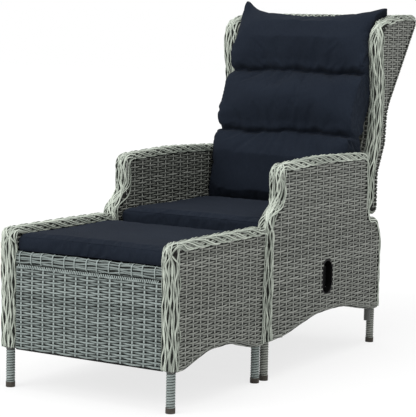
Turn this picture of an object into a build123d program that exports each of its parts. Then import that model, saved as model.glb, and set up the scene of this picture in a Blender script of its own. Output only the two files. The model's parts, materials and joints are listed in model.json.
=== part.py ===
"""Reclining wicker garden chair with winged back, gas spring recline and a matching footstool.

Each piece is drawn in millimetres with X across (the sitter's left is +X), Y towards the
back and Z up from the floor. Chair pieces count Y from the chair's front face, and footstool
pieces from the footstool's front leg centres. The set is moved once at the end, so that the
origin lies on the floor under the middle of the whole set.
"""
import os
from math import cos, radians, sin

from build123d import *

# Overall sizes of the chair
chair_half = 285.0            # middle of the chair to the centre of a side panel
panel_width = 46.0            # side panel and wing, over the braid
weave_width = 40.0            # side panel and wing, over the woven faces
weave_wall = 3.0              # thickness of a woven face
seat_line = 465.0             # height where the arm's front starts to step back
arm_height = 668.0            # floor to the crest of the arm
arm_setback = 118.0           # how far the arm's crest starts behind the front face
base_depth = 792.0            # front face to rear face of the base
arm_length = base_depth * 0.861   # front face to the arm's rear edge
step_height = 441.0           # top of the low step behind the arm
panel_bottom = 119.0          # floor to the lower edge of the panels at the legs
arch_rise = 43.0              # how far the lower edge rises between the legs

# Legs and tubes
tube_radius = 11.0            # steel frame tube
tube_wall = 1.5
bend_radius = 45.0            # centre line of a tube bend
wrap_radius = 13.0            # wicker wrapped leg
wrap_end = 6.0                # bare tube between the wrap and the floor, inside the cap
cap_radius = 14.0
cap_skirt = 16.0              # height of the foot cap's skirt
front_leg_inset = 22.0        # front face to the front leg's centre
rear_leg_inset = 18.0         # rear face to the rear leg's centre
post_drop = 40.0              # how far the pivot post hangs under the panel
touch = 0.3                   # clearance between pieces that only lie against each other

# Recline pivot and back
pivot_setback = 65.0          # recline pivot to the rear face of the base
pivot_y = base_depth - pivot_setback
pivot_z = 477.0
back_height = 1127.0          # floor to the crest of the back
back_rise = back_height - pivot_z
column_width = 46.0           # braided post under each wing
column_top = pivot_z + back_rise * 0.1738   # where the post starts to bend back
bend_back = 52.0              # how far that bend shifts the back
bend_rise = back_rise * 0.1538              # height of that bend
hip_rise = back_rise * 0.1769               # from the bend's top to the hip, where the back starts to lean
hip_shift = 62.0              # shift of the back's line at the hip
back_lean = 36.6              # degrees from upright above the hip
wing_depth = 250.0            # wing at the top, front edge to rear edge
back_panel_depth = 36.0       # thickness of the woven back
braid_band = 22.0             # width of the braided edge on a face

# Recline mechanism
pivot_tube_radius = 12.5
bush_wall = 2.0
running = 0.05                # radial running clearance
lug_depth = 4.0
lug_radius = 22.0
lever_arm = 75.0              # recline pivot to the gas spring's rear pin
spring_reach = 312.0          # gas spring's front pin to the recline pivot, along Y
spring_foot_z = 215.0
cylinder_radius = 11.0
rod_radius = 5.0
rod_exposed = 62.0            # bare rod with the back upright
eye_radius = 14.0
eye_depth = 18.0
pin_radius = 5.0
open_pivot_gap = 3.4          # radial room at the gas spring's rear eye
plate_depth = 4.0

# Release handle in the side of the chair
slot_y = base_depth * 0.4962
slot_z = 276.0
slot_width = 82.0
slot_height = 122.0
cup_depth = 30.0
cup_wall = 2.0
rim_width = 6.0
rim_depth = 2.0
lever_pin_radius = 2.0
cable_radius = 3.0

# Footstool
stool_half = 281.0
stool_leg_span = 475.0
stool_height = 475.0
stool_flare = 23.0            # how far the top of its side panels stands out past the legs
stool_gap = 3.0               # between the footstool and the chair
stool_bottom = 115.0
stool_arch = 35.0
stool_band = 20.0
deck_top = 404.0
deck_depth = 30.0
deck_gap = 2.5                # dark line between the deck and the panel below it
apron_depth = 20.0
apron_side_gap = 3.0

# Soft pieces
seat_deck_z = 424.0
seat_deck_depth = 8.0
cushion_half = 258.0
seat_cushion_front = 37.0     # front face of the chair to the cushion's front edge
seat_cushion_gap = 175.0      # rear edge of the seat cushion to the recline pivot
seat_cushion_height = 64.0
stool_cushion_height = 52.0
stool_cushion_length = 470.0
back_cushion_depths = (118.0, 128.0, 146.0)
crest_sag = 12.0              # how far the top of the back cushion sags between its pointed corners
puff_lap = 0.04               # how far the puffs run into each other, as a share of their depth
channel_padding = 46.0        # padding left at the back cushion's sewn channels

# Small allowances
roll_wall = 4.0               # braid round the tube along the top of the back
least_round = 0.5             # rounding left on a corner that an inset has used up
cut = 1.0                     # overrun of a cut past the face that it opens

parts = {}
bolt_holes = []


def keep(name, *solids):
    """File solids under a node's name."""
    parts.setdefault(name, []).extend(solids)


def mirrored(solid):
    """The same piece on the other side of the middle plane."""
    return mirror(solid, about=Plane.YZ)


def side_slab(face, width, centre=0.0):
    """A flat outline in Y and Z given a width along X, centred on a distance from the middle."""
    return Pos(centre - width / 2, 0, 0) * extrude(Plane.YZ * face, width, dir=(1, 0, 0))


def tube(points, outer=tube_radius, wall=tube_wall, radius=bend_radius):
    """A tube along straight runs joined by bends."""
    path = FilletPolyline(*points, radius=radius) if len(points) > 2 else Line(*points)
    ring = Circle(outer) - Circle(outer - wall)
    return sweep(Plane(origin=path @ 0, z_dir=path % 0) * ring, path=path)


def bar(points, outer=tube_radius, radius=bend_radius):
    """The space that a tube fills."""
    path = FilletPolyline(*points, radius=radius) if len(points) > 2 else Line(*points)
    return sweep(Plane(origin=path @ 0, z_dir=path % 0) * Circle(outer), path=path)


def cross_tube(y, z, half, outer=tube_radius):
    """A tube across the seat at one height."""
    return tube([(-half, y, z), (half, y, z)], outer)


def pin_along_x(y, z, x_from, x_to, radius):
    """A round bar along X."""
    length = x_to - x_from
    return Pos((x_from + x_to) / 2, y, z) * Rot(0, 90, 0) * Cylinder(radius, length)


# Outlines of the woven panels, in Y and Z. Each corner is (y, z, radius of its rounding).

bend_top = column_top + bend_rise
hip_height = bend_top + hip_rise


def rounded(corners):
    """A closed outline of straight runs whose corners are rounded."""
    path = FilletPolyline(*[(y, z) for y, z, r in corners], radius=[r for y, z, r in corners], close=True)
    return make_face(path)


def inset(corners, amount):
    """The same outline drawn in all round by one distance."""
    drawn_in = []
    for i, (y, z, r) in enumerate(corners):
        here = Vector(y, z)
        before = Vector(*corners[i - 1][:2])
        after = Vector(*corners[(i + 1) % len(corners)][:2])
        come = (here - before).normalized()
        leave = (after - here).normalized()
        turn = come.X * leave.Y - come.Y * leave.X
        inward = Vector(come.Y, -come.X) + Vector(leave.Y, -leave.X)
        reach = 2 * amount / inward.dot(inward)
        point = here + inward * reach
        radius = max(r - amount, least_round) if turn < 0 else r + amount
        drawn_in.append((point.X, point.Y, radius))
    return drawn_in


def base_corners():
    """Side of the chair, clockwise: stepped arm front, crest, low rear step and arched lower edge."""
    rise = arm_height - seat_line
    step_depth = base_depth - arm_length
    return [
        (0, panel_bottom, panel_width * 0.17),
        (0, seat_line + rise * 0.115, rise * 0.28),
        (arm_setback * 0.61, seat_line + rise * 0.375, rise * 0.22),
        (arm_setback * 0.53, arm_height - rise * 0.06, rise * 0.18),
        (arm_length * 0.51, arm_height, arm_length * 2.2),
        (arm_length, arm_height - rise * 0.04, rise * 0.2),
        (arm_length + step_depth * 0.02, step_height + rise * 0.4, rise * 1.5),
        (arm_length + step_depth * 0.16, step_height, rise * 0.03),
        (arm_length + step_depth * 0.70, step_height - rise * 0.025, step_depth * 0.30),
        (base_depth, step_height - rise * 0.34, step_depth * 0.5),
        (base_depth, panel_bottom, panel_width * 0.25),
        (base_depth * 0.90, panel_bottom + arch_rise * 0.12, base_depth * 0.3),
        (base_depth * 0.66, panel_bottom + arch_rise, base_depth * 0.7),
        (base_depth * 0.42, panel_bottom + arch_rise, base_depth * 0.7),
        (base_depth * 0.15, panel_bottom + arch_rise * 0.10, base_depth * 0.4),
    ]


def lean_line(z):
    """Rear face of the back above the hip."""
    slope = sin(radians(back_lean)) / cos(radians(back_lean))
    return pivot_y + column_width / 2 + hip_shift + (z - hip_height) * slope


def wing_corners():
    """Post, bend and wing of the back, clockwise from the pivot's rounded end."""
    front_y = pivot_y - column_width / 2
    rear_y = pivot_y + column_width / 2
    round_end = column_width / 2 - least_round
    end_z = pivot_z - column_width / 2
    rise = back_height - hip_height
    foot = front_y + bend_back * 0.85
    tip_y = lean_line(back_height)
    brow_y = foot + wing_depth * 0.025
    return [
        (front_y, end_z, round_end),
        (front_y, column_top + column_width * 0.2, column_width * 1.3),
        (foot, bend_top + column_width * 0.2, column_width * 1.7),
        (foot + wing_depth * 0.075, hip_height + rise * 0.186, rise * 0.5),
        (foot - wing_depth * 0.025, hip_height + rise * 0.64, rise * 0.36),
        (brow_y, hip_height + rise * 0.891, rise * 0.17),
        (brow_y + (tip_y - brow_y) * 0.4, back_height - column_width * 0.10, wing_depth * 0.8),
        (tip_y, back_height, column_width * 0.52),
        (lean_line(hip_height), hip_height, wing_depth * 0.5),
        (rear_y + bend_back, bend_top, column_width * 1.3),
        (rear_y, column_top, column_width * 1.3),
        (rear_y, end_z, round_end),
    ]


def stool_corners():
    """Side of the footstool: edges that flare out at the top, level crest, arched lower edge."""
    rise = stool_height - stool_bottom
    front = [
        (-stool_flare * 0.77, stool_bottom, stool_flare * 0.4),
        (-stool_flare * 0.78, stool_bottom + rise * 0.42, rise * 1.4),
        (-stool_flare, stool_bottom + rise * 0.82, rise * 0.8),
        (-stool_flare, stool_height - stool_flare * 0.05, stool_flare * 1.2),
    ]
    rear = [(stool_leg_span - y, z, r) for y, z, r in reversed(front)]
    crest = [(stool_leg_span / 2, stool_height, stool_leg_span * 10)]
    arch = [
        (stool_leg_span * 0.92, stool_bottom, stool_leg_span * 0.3),
        (stool_leg_span * 0.64, stool_bottom + stool_arch, stool_leg_span * 0.5),
        (stool_leg_span * 0.36, stool_bottom + stool_arch, stool_leg_span * 0.5),
        (stool_leg_span * 0.08, stool_bottom, stool_leg_span * 0.3),
    ]
    return front + crest + rear + arch


def woven_box(corners, width, centre):
    """A closed woven skin round a frame, hollow inside."""
    skin = inset(corners, (panel_width - weave_width) / 2)
    outside = side_slab(rounded(skin), width, centre)
    return outside - side_slab(rounded(inset(skin, weave_wall)), width - 2 * weave_wall, centre)


def braided_edge(corners, band, width, centre, lowest):
    """The braid that wraps the edge of a woven box, open below the given height."""
    face = rounded(corners)
    inner = rounded(inset(corners, band))
    box = face.bounding_box()
    below = Pos(box.center().X, lowest - box.size.Y) * Rectangle(box.size.X * 2, box.size.Y * 2)
    ring = side_slab(face - inner - below, width, centre)
    skin = rounded(inset(corners, (panel_width - weave_width) / 2))
    return ring - side_slab(skin, width - (panel_width - weave_width), centre)


def run_beside(points, amount):
    """An open run of (y, z) points moved square to itself, to the right of its direction."""
    moved = []
    for i, (y, z) in enumerate(points):
        here = Vector(y, z)
        come = (here - Vector(*points[i - 1])).normalized() if i else None
        leave = (Vector(*points[i + 1]) - here).normalized() if i + 1 < len(points) else None
        come = come or leave
        leave = leave or come
        beside = Vector(come.Y, -come.X) + Vector(leave.Y, -leave.X)
        point = here + beside * (2 * amount / beside.dot(beside))
        moved.append((point.X, point.Y))
    return moved


# Places worked out from the sizes above

skin_inset = (panel_width - weave_width) / 2
hollow_inset = skin_inset + weave_wall
panel_inner = chair_half - panel_width / 2
front_leg_y = front_leg_inset
rear_leg_y = base_depth - rear_leg_inset
post_y = rear_leg_y - tube_radius - wrap_radius - touch
arm_rail_z = arm_height - hollow_inset - tube_radius - panel_width * 0.2
arm_post_y = arm_setback * 0.61 + hollow_inset + tube_radius + panel_width * 0.1
upright_y = arm_length - panel_width * 1.1
seat_rail_z = seat_deck_z - seat_deck_depth - touch - tube_radius
rear_rail_z = seat_rail_z - lug_radius * 3.6
rail_room = hollow_inset + tube_radius + touch * 8
lower_rail_z = panel_bottom + rail_room
spring_foot_y = pivot_y - spring_reach
slender = tube_radius * 0.73


def arm_tube_points(x):
    """Front leg, bent back inside the arm's stepped front and along the arm."""
    rise = arm_height - seat_line
    low = seat_line + rise * 0.02
    return [
        (x, front_leg_y, wrap_end),
        (x, front_leg_y, low),
        (x, arm_post_y, low + (arm_post_y - front_leg_y) * 0.74),
        (x, arm_post_y, arm_rail_z),
        (x, upright_y + tube_radius, arm_rail_z),
    ]


def rear_leg_points(x):
    return [(x, rear_leg_y, wrap_end), (x, rear_leg_y, rear_rail_z + tube_radius * 2)]


def pivot_post_points(x):
    return [(x, post_y, panel_bottom - post_drop), (x, post_y, seat_rail_z + tube_radius)]


def seat_rail_points(x):
    return [(x, front_leg_y, seat_rail_z), (x, post_y, seat_rail_z)]


def arched_rail(corners, last, y_front, y_rear, x):
    """Points of a rail that follows the arch after an outline's last upright corner."""
    drawn = inset(corners, rail_room)
    arch = [(x, y, z) for y, z, r in reversed(drawn[last + 1:])]
    return [(x, y_front, drawn[0][1])] + arch + [(x, y_rear, drawn[last][1])]


def lower_rail(x):
    """Bottom rail of a side, arched as the panel's lower edge."""
    return arched_rail(base_corners(), 10, front_leg_y, post_y, x)


def make_side_frame():
    """Welded tube frame inside each side panel, with coped joints."""
    x = chair_half
    arm = tube(arm_tube_points(x), radius=bend_radius * 0.9)
    arm_space = bar(arm_tube_points(x), radius=bend_radius * 0.9)
    post_space = bar(pivot_post_points(x))
    seat_rail = tube(seat_rail_points(x)) - arm_space - post_space
    low_rail = tube(lower_rail(x)) - arm_space - post_space
    upright = tube([(x, upright_y, seat_rail_z), (x, upright_y, arm_rail_z)], slender)
    upright = upright - arm_space - bar(seat_rail_points(x))
    gusset_box = Box(weave_wall, rear_leg_y - post_y + tube_radius, tube_radius * 4)
    gusset_x = x - tube_radius - weave_wall / 2
    gussets = [
        Pos(gusset_x, (post_y + rear_leg_y) / 2, z) * gusset_box
        for z in (lower_rail_z + tube_radius * 4, rear_rail_z - tube_radius * 4)
    ]
    for name, pieces in {
        "arm_tubes": [arm],
        "rear_legs": [tube(rear_leg_points(x))],
        "pivot_posts": [tube(pivot_post_points(x))],
        "seat_rails": [seat_rail],
        "lower_rails": [low_rail],
        "arm_uprights": [upright],
        "leg_gussets": gussets,
    }.items():
        for piece in pieces:
            keep(name, piece, mirrored(piece))


seat_cross_shares = (0.25, 0.58, 0.95)


def make_cross_frame():
    """Tubes that join the two sides, and the gas spring's front bracket."""
    half = chair_half
    arm_spaces = [bar(arm_tube_points(x), radius=bend_radius * 0.9) for x in (-half, half)]
    leg_spaces = [bar(rear_leg_points(x)) for x in (-half, half)]
    rail_spaces = [bar(seat_rail_points(x)) for x in (-half, half)]
    low_spaces = [bar(lower_rail(x)) for x in (-half, half)]
    for z in (lower_rail_z, seat_rail_z):
        crossing = cross_tube(front_leg_y, z, half, slender)
        keep("front_cross_tubes", crossing - arm_spaces - rail_spaces - low_spaces)
    for z in (lower_rail_z, rear_rail_z):
        keep("rear_cross_tubes", cross_tube(rear_leg_y, z, half, slender) - leg_spaces)
    for share in seat_cross_shares:
        keep("seat_cross_tubes", cross_tube(upright_y * share, seat_rail_z, half) - rail_spaces)
    low_z = lower_rail_z + arch_rise
    keep("spring_cross_tube", cross_tube(spring_foot_y, low_z, half, slender) - low_spaces)


def link_plate(y_a, z_a, r_a, y_b, z_b, r_b, x_from, depth):
    """A flat link with two round ends."""
    ends = Pos(y_a, z_a) * Circle(r_a) + Pos(y_b, z_b) * Circle(r_b)
    face = make_hull(ends.edges())
    return Pos(x_from, 0, 0) * extrude(Plane.YZ * face, depth, dir=(1, 0, 0))


fork_half = eye_depth / 2 + touch
fork_radius = pin_radius * 2.2


def make_spring_bracket():
    """Fork on the cross tube that holds the gas spring's front pin, with the cable's stop."""
    low_z = lower_rail_z + arch_rise
    foot = pin_along_x(spring_foot_y, low_z, -chair_half, chair_half, slender)
    plate = link_plate(spring_foot_y, low_z, slender + plate_depth, spring_foot_y, spring_foot_z,
                       fork_radius, fork_half, plate_depth)
    pin = pin_along_x(spring_foot_y, spring_foot_z, -fork_half - plate_depth * 2,
                      fork_half + plate_depth * 2, pin_radius)
    plate = plate - foot - pin
    stop_x = fork_half + plate_depth
    stop = Pos(stop_x + plate_depth, cable_stop_y, cable_stop_z) * Box(
        plate_depth * 2, cable_radius * 5, cable_radius * 6)
    link = Pos(stop_x + plate_depth, (cable_stop_y + spring_foot_y) / 2, cable_stop_z) * Box(
        plate_depth * 2, abs(spring_foot_y - cable_stop_y) + cable_radius, cable_radius * 4)
    arm = Pos(fork_half + plate_depth / 2, (cable_stop_y + spring_foot_y) / 2, cable_stop_z) * Box(
        plate_depth, abs(spring_foot_y - cable_stop_y) + fork_radius, cable_radius * 4)
    keep("spring_bracket", plate + arm + stop + link - pin, mirrored(plate))
    keep("spring_front_pin", pin)


cable_stop_y = spring_foot_y - eye_radius * 0.7
cable_stop_z = spring_foot_z + eye_radius * 1.5


def make_leg_ends():
    """Wicker sleeves on the legs and the plastic caps that they stand in."""
    sleeve_top = panel_bottom + skin_inset
    for name, caps, half, leg_ys, top in (
        ("leg_wraps", "foot_caps", chair_half, (front_leg_y, rear_leg_y), sleeve_top),
        ("stool_leg_wraps", "stool_foot_caps", stool_half, (0, stool_leg_span), stool_bottom + skin_inset),
    ):
        ring = Circle(wrap_radius) - Circle(tube_radius)
        cap = Cylinder(cap_radius, cap_skirt, align=(Align.CENTER, Align.CENTER, Align.MIN))
        cap = cap - Pos(0, 0, wrap_end) * Cylinder(
            wrap_radius, cap_skirt, align=(Align.CENTER, Align.CENTER, Align.MIN))
        for x in (-half, half):
            for y in leg_ys:
                keep(name, Pos(x, y, wrap_end) * extrude(ring, top - wrap_end))
                keep(caps, Pos(x, y, 0) * cap)


def oblong(width, height, x_from, depth):
    """An upright slot shape in the side of the chair."""
    face = Pos(slot_y, slot_z) * Rot(0, 0, 90) * SlotOverall(height, width)
    return Pos(x_from, 0, 0) * extrude(Plane.YZ * face, depth, dir=(1, 0, 0))


boss_radius = cable_radius * 1.7
boss_z = slot_z + slot_height * 0.16


def make_side_skins():
    """Hollow woven sides with holes for the tubes, the handle's cup and the cable."""
    x = chair_half
    skin = woven_box(base_corners(), weave_width, x)
    holes = [
        bar([(x, front_leg_y, 0), (x, front_leg_y, lower_rail_z)], tube_radius + touch),
        bar([(x, rear_leg_y, 0), (x, rear_leg_y, lower_rail_z)], tube_radius + touch),
        bar([(x, post_y, 0), (x, post_y, lower_rail_z)], tube_radius + touch),
    ]
    inner = [(front_leg_y, lower_rail_z, slender), (front_leg_y, seat_rail_z, slender),
             (rear_leg_y, lower_rail_z, slender), (rear_leg_y, rear_rail_z, slender),
             (spring_foot_y, lower_rail_z + arch_rise, slender)]
    inner += [(upright_y * share, seat_rail_z, tube_radius) for share in seat_cross_shares]
    for y, z, r in inner:
        holes.append(pin_along_x(y, z, panel_inner - cut, x, r + touch))
    skin = skin - holes - bolt_holes
    braid = braided_edge(base_corners(), braid_band, panel_width, x, panel_bottom + arch_rise * 0.5)
    braid = braid - holes
    keep("side_weave_right", mirrored(skin))
    keep("arm_braid_right", mirrored(braid))
    body_gap = (rim_width - touch) * 2
    mouth = oblong(slot_width - body_gap, slot_height - body_gap, x, weave_width)
    cable_hole = pin_along_x(slot_y, boss_z, panel_inner - cut, x, boss_radius + touch)
    keep("side_weave_left", skin - mouth - cable_hole)
    keep("arm_braid_left", braid)


hand_pin_z = slot_z - slot_height * 0.31
lever_height = slot_height * 0.60
lever_width = slot_width * 0.60
lever_depth = cup_wall * 2.5


def make_release_handle():
    """Recessed cup in the side, its pull lever, the lever's pin and the cable to the gas spring."""
    face_x = chair_half + weave_width / 2
    body_width = slot_width - rim_width * 2
    body_height = slot_height - rim_width * 2
    back_x = face_x - cup_depth
    wall = cup_wall * 2
    cup = oblong(body_width, body_height, back_x, cup_depth)
    cup = cup + oblong(slot_width, slot_height, face_x, rim_depth)
    cup = cup - oblong(body_width - wall, body_height - wall, back_x + cup_wall, cup_depth + cut * 3)
    boss_end = panel_inner
    cup = cup + pin_along_x(slot_y, boss_z, boss_end, back_x, boss_radius)
    pin_x = back_x + cup_depth * 0.4
    inside = body_width / 2 - cup_wall
    drop = slot_z - hand_pin_z - (body_height - body_width) / 2
    half_pin = (inside ** 2 - drop ** 2) ** 0.5 + cup_wall * 0.6
    pin = Pos(pin_x, slot_y, hand_pin_z) * Rot(90, 0, 0) * Cylinder(lever_pin_radius, half_pin * 2)
    keep("handle_housing", cup - pin)
    keep("lever_pin", pin)
    hub = Pos(pin_x, slot_y, hand_pin_z) * Rot(90, 0, 0) * Cylinder(lever_pin_radius * 2.2, lever_width * 0.7)
    paddle_face = Pos(slot_y, hand_pin_z + lever_height / 2) * RectangleRounded(
        lever_width, lever_height, lever_width * 0.3)
    paddle = Pos(pin_x - lever_depth / 2, 0, 0) * extrude(Plane.YZ * paddle_face, lever_depth, dir=(1, 0, 0))
    lip_place = Pos(pin_x + lever_depth * 0.6, slot_y, hand_pin_z + lever_height - lever_depth)
    lip = lip_place * Rot(90, 0, 0) * Cylinder(lever_depth * 0.8, lever_width * 0.5)
    keep_clear = Pos(pin_x, slot_y, hand_pin_z) * Rot(90, 0, 0) * Cylinder(
        lever_pin_radius + running, half_pin * 2)
    lever_gap = wall + touch * 6
    lever_room = oblong(body_width - lever_gap, body_height - lever_gap, back_x, cup_depth)
    lever = (hub + paddle + lip) & lever_room
    keep("release_lever", lever - keep_clear)
    stop_x = fork_half + plate_depth * 3
    cable_points = [
        (boss_end, slot_y, boss_z),
        (panel_inner * 0.71, slot_y, boss_z),
        (panel_inner * 0.36, cable_stop_y, cable_stop_z),
        (stop_x, cable_stop_y, cable_stop_z),
    ]
    keep("release_cable", bar(cable_points, cable_radius, bend_radius * 2))


def panel_between(half, y, z_low, z_high, tube_heights, tube_r):
    """A hollow woven panel across the seat, closed round its cross tubes."""
    height = z_high - z_low
    middle = (z_low + z_high) / 2
    shell = Pos(0, y, middle) * Box(half * 2, apron_depth, height)
    shell = fillet(shell.edges().filter_by(Axis.X), apron_depth * 0.3)
    wall = weave_wall * 2
    hollow = Pos(0, y, middle) * Box(half * 2 - wall, apron_depth - wall, height - wall)
    shell = shell - hollow
    for z in tube_heights:
        shell = shell - pin_along_x(y, z, -half - cut, half + cut, tube_r + touch)
    return shell


def make_seat():
    """Woven panels in front and behind, and the woven deck under the cushion."""
    half = panel_inner - apron_side_gap
    front_top = seat_deck_z - deck_depth - deck_gap
    keep("front_apron", panel_between(half, front_leg_y, panel_bottom, front_top, (lower_rail_z,), slender))
    rear_top = rear_rail_z + slender + weave_wall + touch
    rear_tubes = (lower_rail_z, rear_rail_z)
    keep("rear_apron", panel_between(half, rear_leg_y, panel_bottom, rear_top, rear_tubes, slender))
    deck_front = front_leg_y - apron_depth * 0.6
    deck_end = upright_y + tube_radius * 2
    deck_half = panel_inner - touch * 3
    deck = Pos(0, (deck_front + deck_end) / 2, seat_deck_z - seat_deck_depth / 2) * Box(
        deck_half * 2, deck_end - deck_front, seat_deck_depth)
    lip = Box(half * 2, weave_wall, deck_depth)
    keep("seat_deck", deck + Pos(0, deck_front + weave_wall / 2, seat_deck_z - deck_depth / 2) * lip)


# The reclining back

rear_y = pivot_y + column_width / 2
post_depth = column_width / 2


def back_run():
    """Rear face of the back in Y and Z, from the pivot's level to the top."""
    top_z = back_height - post_depth * (1 + sin(radians(back_lean)))
    return [
        (rear_y, pivot_z - column_width / 2 + skin_inset),
        (rear_y, column_top),
        (rear_y + bend_back, bend_top),
        (lean_line(hip_height), hip_height),
        (lean_line(top_z), top_z),
    ]


run_radii = [column_width * 1.3, column_width * 1.3, wing_depth * 0.5]


def back_tube_points(x, depth):
    """The back's line at some depth in front of its rear face, as tube points."""
    return [(x, y, z) for y, z in run_beside(back_run(), -depth)]


def back_post_points(x):
    points = back_tube_points(x, post_depth)
    return [(x, pivot_y, pivot_z)] + points[1:]


def roll_centre():
    """Centre of the braided roll along the top of the back."""
    return back_post_points(chair_half)[-1][1:]


hoop_bend = slender * 3


def hoop_run(x):
    """Points of a wing's front and top tube, from the back post's hip to its top."""
    drawn = inset(wing_corners(), hollow_inset + slender + touch * 12)[3:7]
    return [back_post_points(x)[3]] + [(x, y, z) for y, z, r in drawn] + [(x, *roll_centre())]


def make_back_frame():
    """Bent posts, wing hoops and cross tubes of the back, and the hinge tube that it turns on."""
    x = chair_half
    post = tube(back_post_points(x), radius=run_radii)
    post_space = bar(back_post_points(x), radius=run_radii)
    hoop = tube(hoop_run(x), slender, radius=hoop_bend) - post_space
    hoop = max(hoop.solids(), key=lambda solid: solid.volume)
    hoop_space = bar(hoop_run(x), slender, hoop_bend)
    keep("back_posts", post, mirrored(post))
    keep("wing_tubes", hoop, mirrored(hoop))
    spaces = [post_space, mirrored(post_space), hoop_space, mirrored(hoop_space)]
    top_y, top_z = roll_centre()
    middle = back_tube_points(0, back_panel_depth / 2 + skin_inset)
    places = [(top_y, top_z, tube_radius)]
    for i, share in ((1, 0.45), (2, 0.55), (3, 0.45)):
        a, b = middle[i], middle[i + 1]
        places.append((a[1] + (b[1] - a[1]) * share, a[2] + (b[2] - a[2]) * share, slender))
    for y, z, r in places:
        keep("back_cross_tubes", cross_tube(y, z, x, r) - spaces)
    keep("pivot_tube", cross_tube(pivot_y, pivot_z, x, pivot_tube_radius) - spaces)
    return places


def make_wings(places):
    """Hollow woven wings and the braid round their edge."""
    x = chair_half
    skin = woven_box(wing_corners(), weave_width, x)
    holes = [pin_along_x(y, z, panel_inner - cut, x, r + touch) for y, z, r in places]
    holes.append(pin_along_x(pivot_y, pivot_z, panel_inner - cut, x, pivot_tube_radius + touch))
    skin = skin - holes
    braid = braided_edge(wing_corners(), braid_band * 0.8, panel_width, x, 0) - holes
    for side, weave, edge in (("left", skin, braid), ("right", mirrored(skin), mirrored(braid))):
        keep("wing_weave_" + side, weave)
        keep("wing_braid_" + side, edge)


notch_half = fork_half + plate_depth * 2 + touch * 4


def back_corners():
    """Section of the woven back between the wings, clockwise."""
    outside = run_beside(back_run(), -skin_inset)
    inside = run_beside(back_run(), -skin_inset - back_panel_depth)
    end_round = back_panel_depth * 0.1
    radii = [end_round, *run_radii, end_round]
    corners = [(y, z, r) for (y, z), r in zip(inside, radii)]
    return corners + [(y, z, r) for (y, z), r in zip(reversed(outside), reversed(radii))]


def make_back_panel(places):
    """Hollow woven back between the wings, with the braided roll along its top."""
    half = panel_inner - touch
    top_y, top_z = roll_centre()
    panel = side_slab(rounded(back_corners()), half * 2)
    panel = panel - side_slab(rounded(inset(back_corners(), weave_wall)), (half - weave_wall) * 2)
    roll_space = pin_along_x(top_y, top_z, -half - cut, half + cut, post_depth)
    panel = panel - roll_space
    for y, z, r in places[1:]:
        panel = panel - pin_along_x(y, z, -half - cut, half + cut, r + touch)
    panel = panel - pin_along_x(pivot_y, pivot_z, -half - cut, half + cut, pivot_tube_radius + touch)
    lug_room = Pos(0, pivot_y, pivot_z) * Box(notch_half * 2, column_width * 2, column_width * 1.2)
    panel = panel - lug_room
    end_radius = lug_radius + lug_depth * 3
    end_x = panel_inner - lug_depth * 2
    end_room = pin_along_x(pivot_y, pivot_z, end_x, panel_inner + cut, end_radius)
    panel = panel - end_room - mirrored(end_room)
    panel = max(panel.solids(), key=lambda solid: solid.volume)
    keep("back_weave", panel)
    roll = pin_along_x(top_y, top_z, -half, half, post_depth) - pin_along_x(
        top_y, top_z, -half - cut, half + cut, post_depth - roll_wall)
    keep("back_top_braid", roll)


def make_hinge():
    """Plates that carry the back's hinge tube, their bolts and their plastic bushes."""
    x_from = panel_inner - touch * 2 - lug_depth
    low_z = seat_rail_z - lug_radius * 2.4
    plate = link_plate(pivot_y, pivot_z, lug_radius, post_y, low_z, lug_radius * 0.7, x_from, lug_depth)
    bore = pin_along_x(pivot_y, pivot_z, x_from - cut, x_from + lug_depth + cut,
                       pivot_tube_radius + running + bush_wall)
    plate = plate - bore
    bolt_shank = lug_depth
    for z in (low_z, low_z + lug_radius * 1.6):
        shank = pin_along_x(post_y, z, x_from, chair_half - tube_radius, bolt_shank)
        head_face = Pos(post_y, z) * RegularPolygon(bolt_shank * 1.8, 6)
        head = Pos(x_from - bolt_shank, 0, 0) * extrude(Plane.YZ * head_face, bolt_shank, dir=(1, 0, 0))
        bolt = head + shank
        plate = plate - shank
        keep("lug_bolts", bolt, mirrored(bolt))
        hole_end = chair_half - tube_radius
        bolt_holes.append(pin_along_x(post_y, z, panel_inner - cut, hole_end, bolt_shank + touch))
    keep("pivot_lugs", plate, mirrored(plate))
    bore_radius = pivot_tube_radius + running
    bush = pin_along_x(pivot_y, pivot_z, x_from, x_from + lug_depth, bore_radius + bush_wall)
    bush = bush - pin_along_x(pivot_y, pivot_z, x_from - cut, x_from + lug_depth + cut, bore_radius)
    keep("pivot_bushes", bush, mirrored(bush))


# The gas spring

spring_rear_y = pivot_y
spring_rear_z = pivot_z - lever_arm


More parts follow.
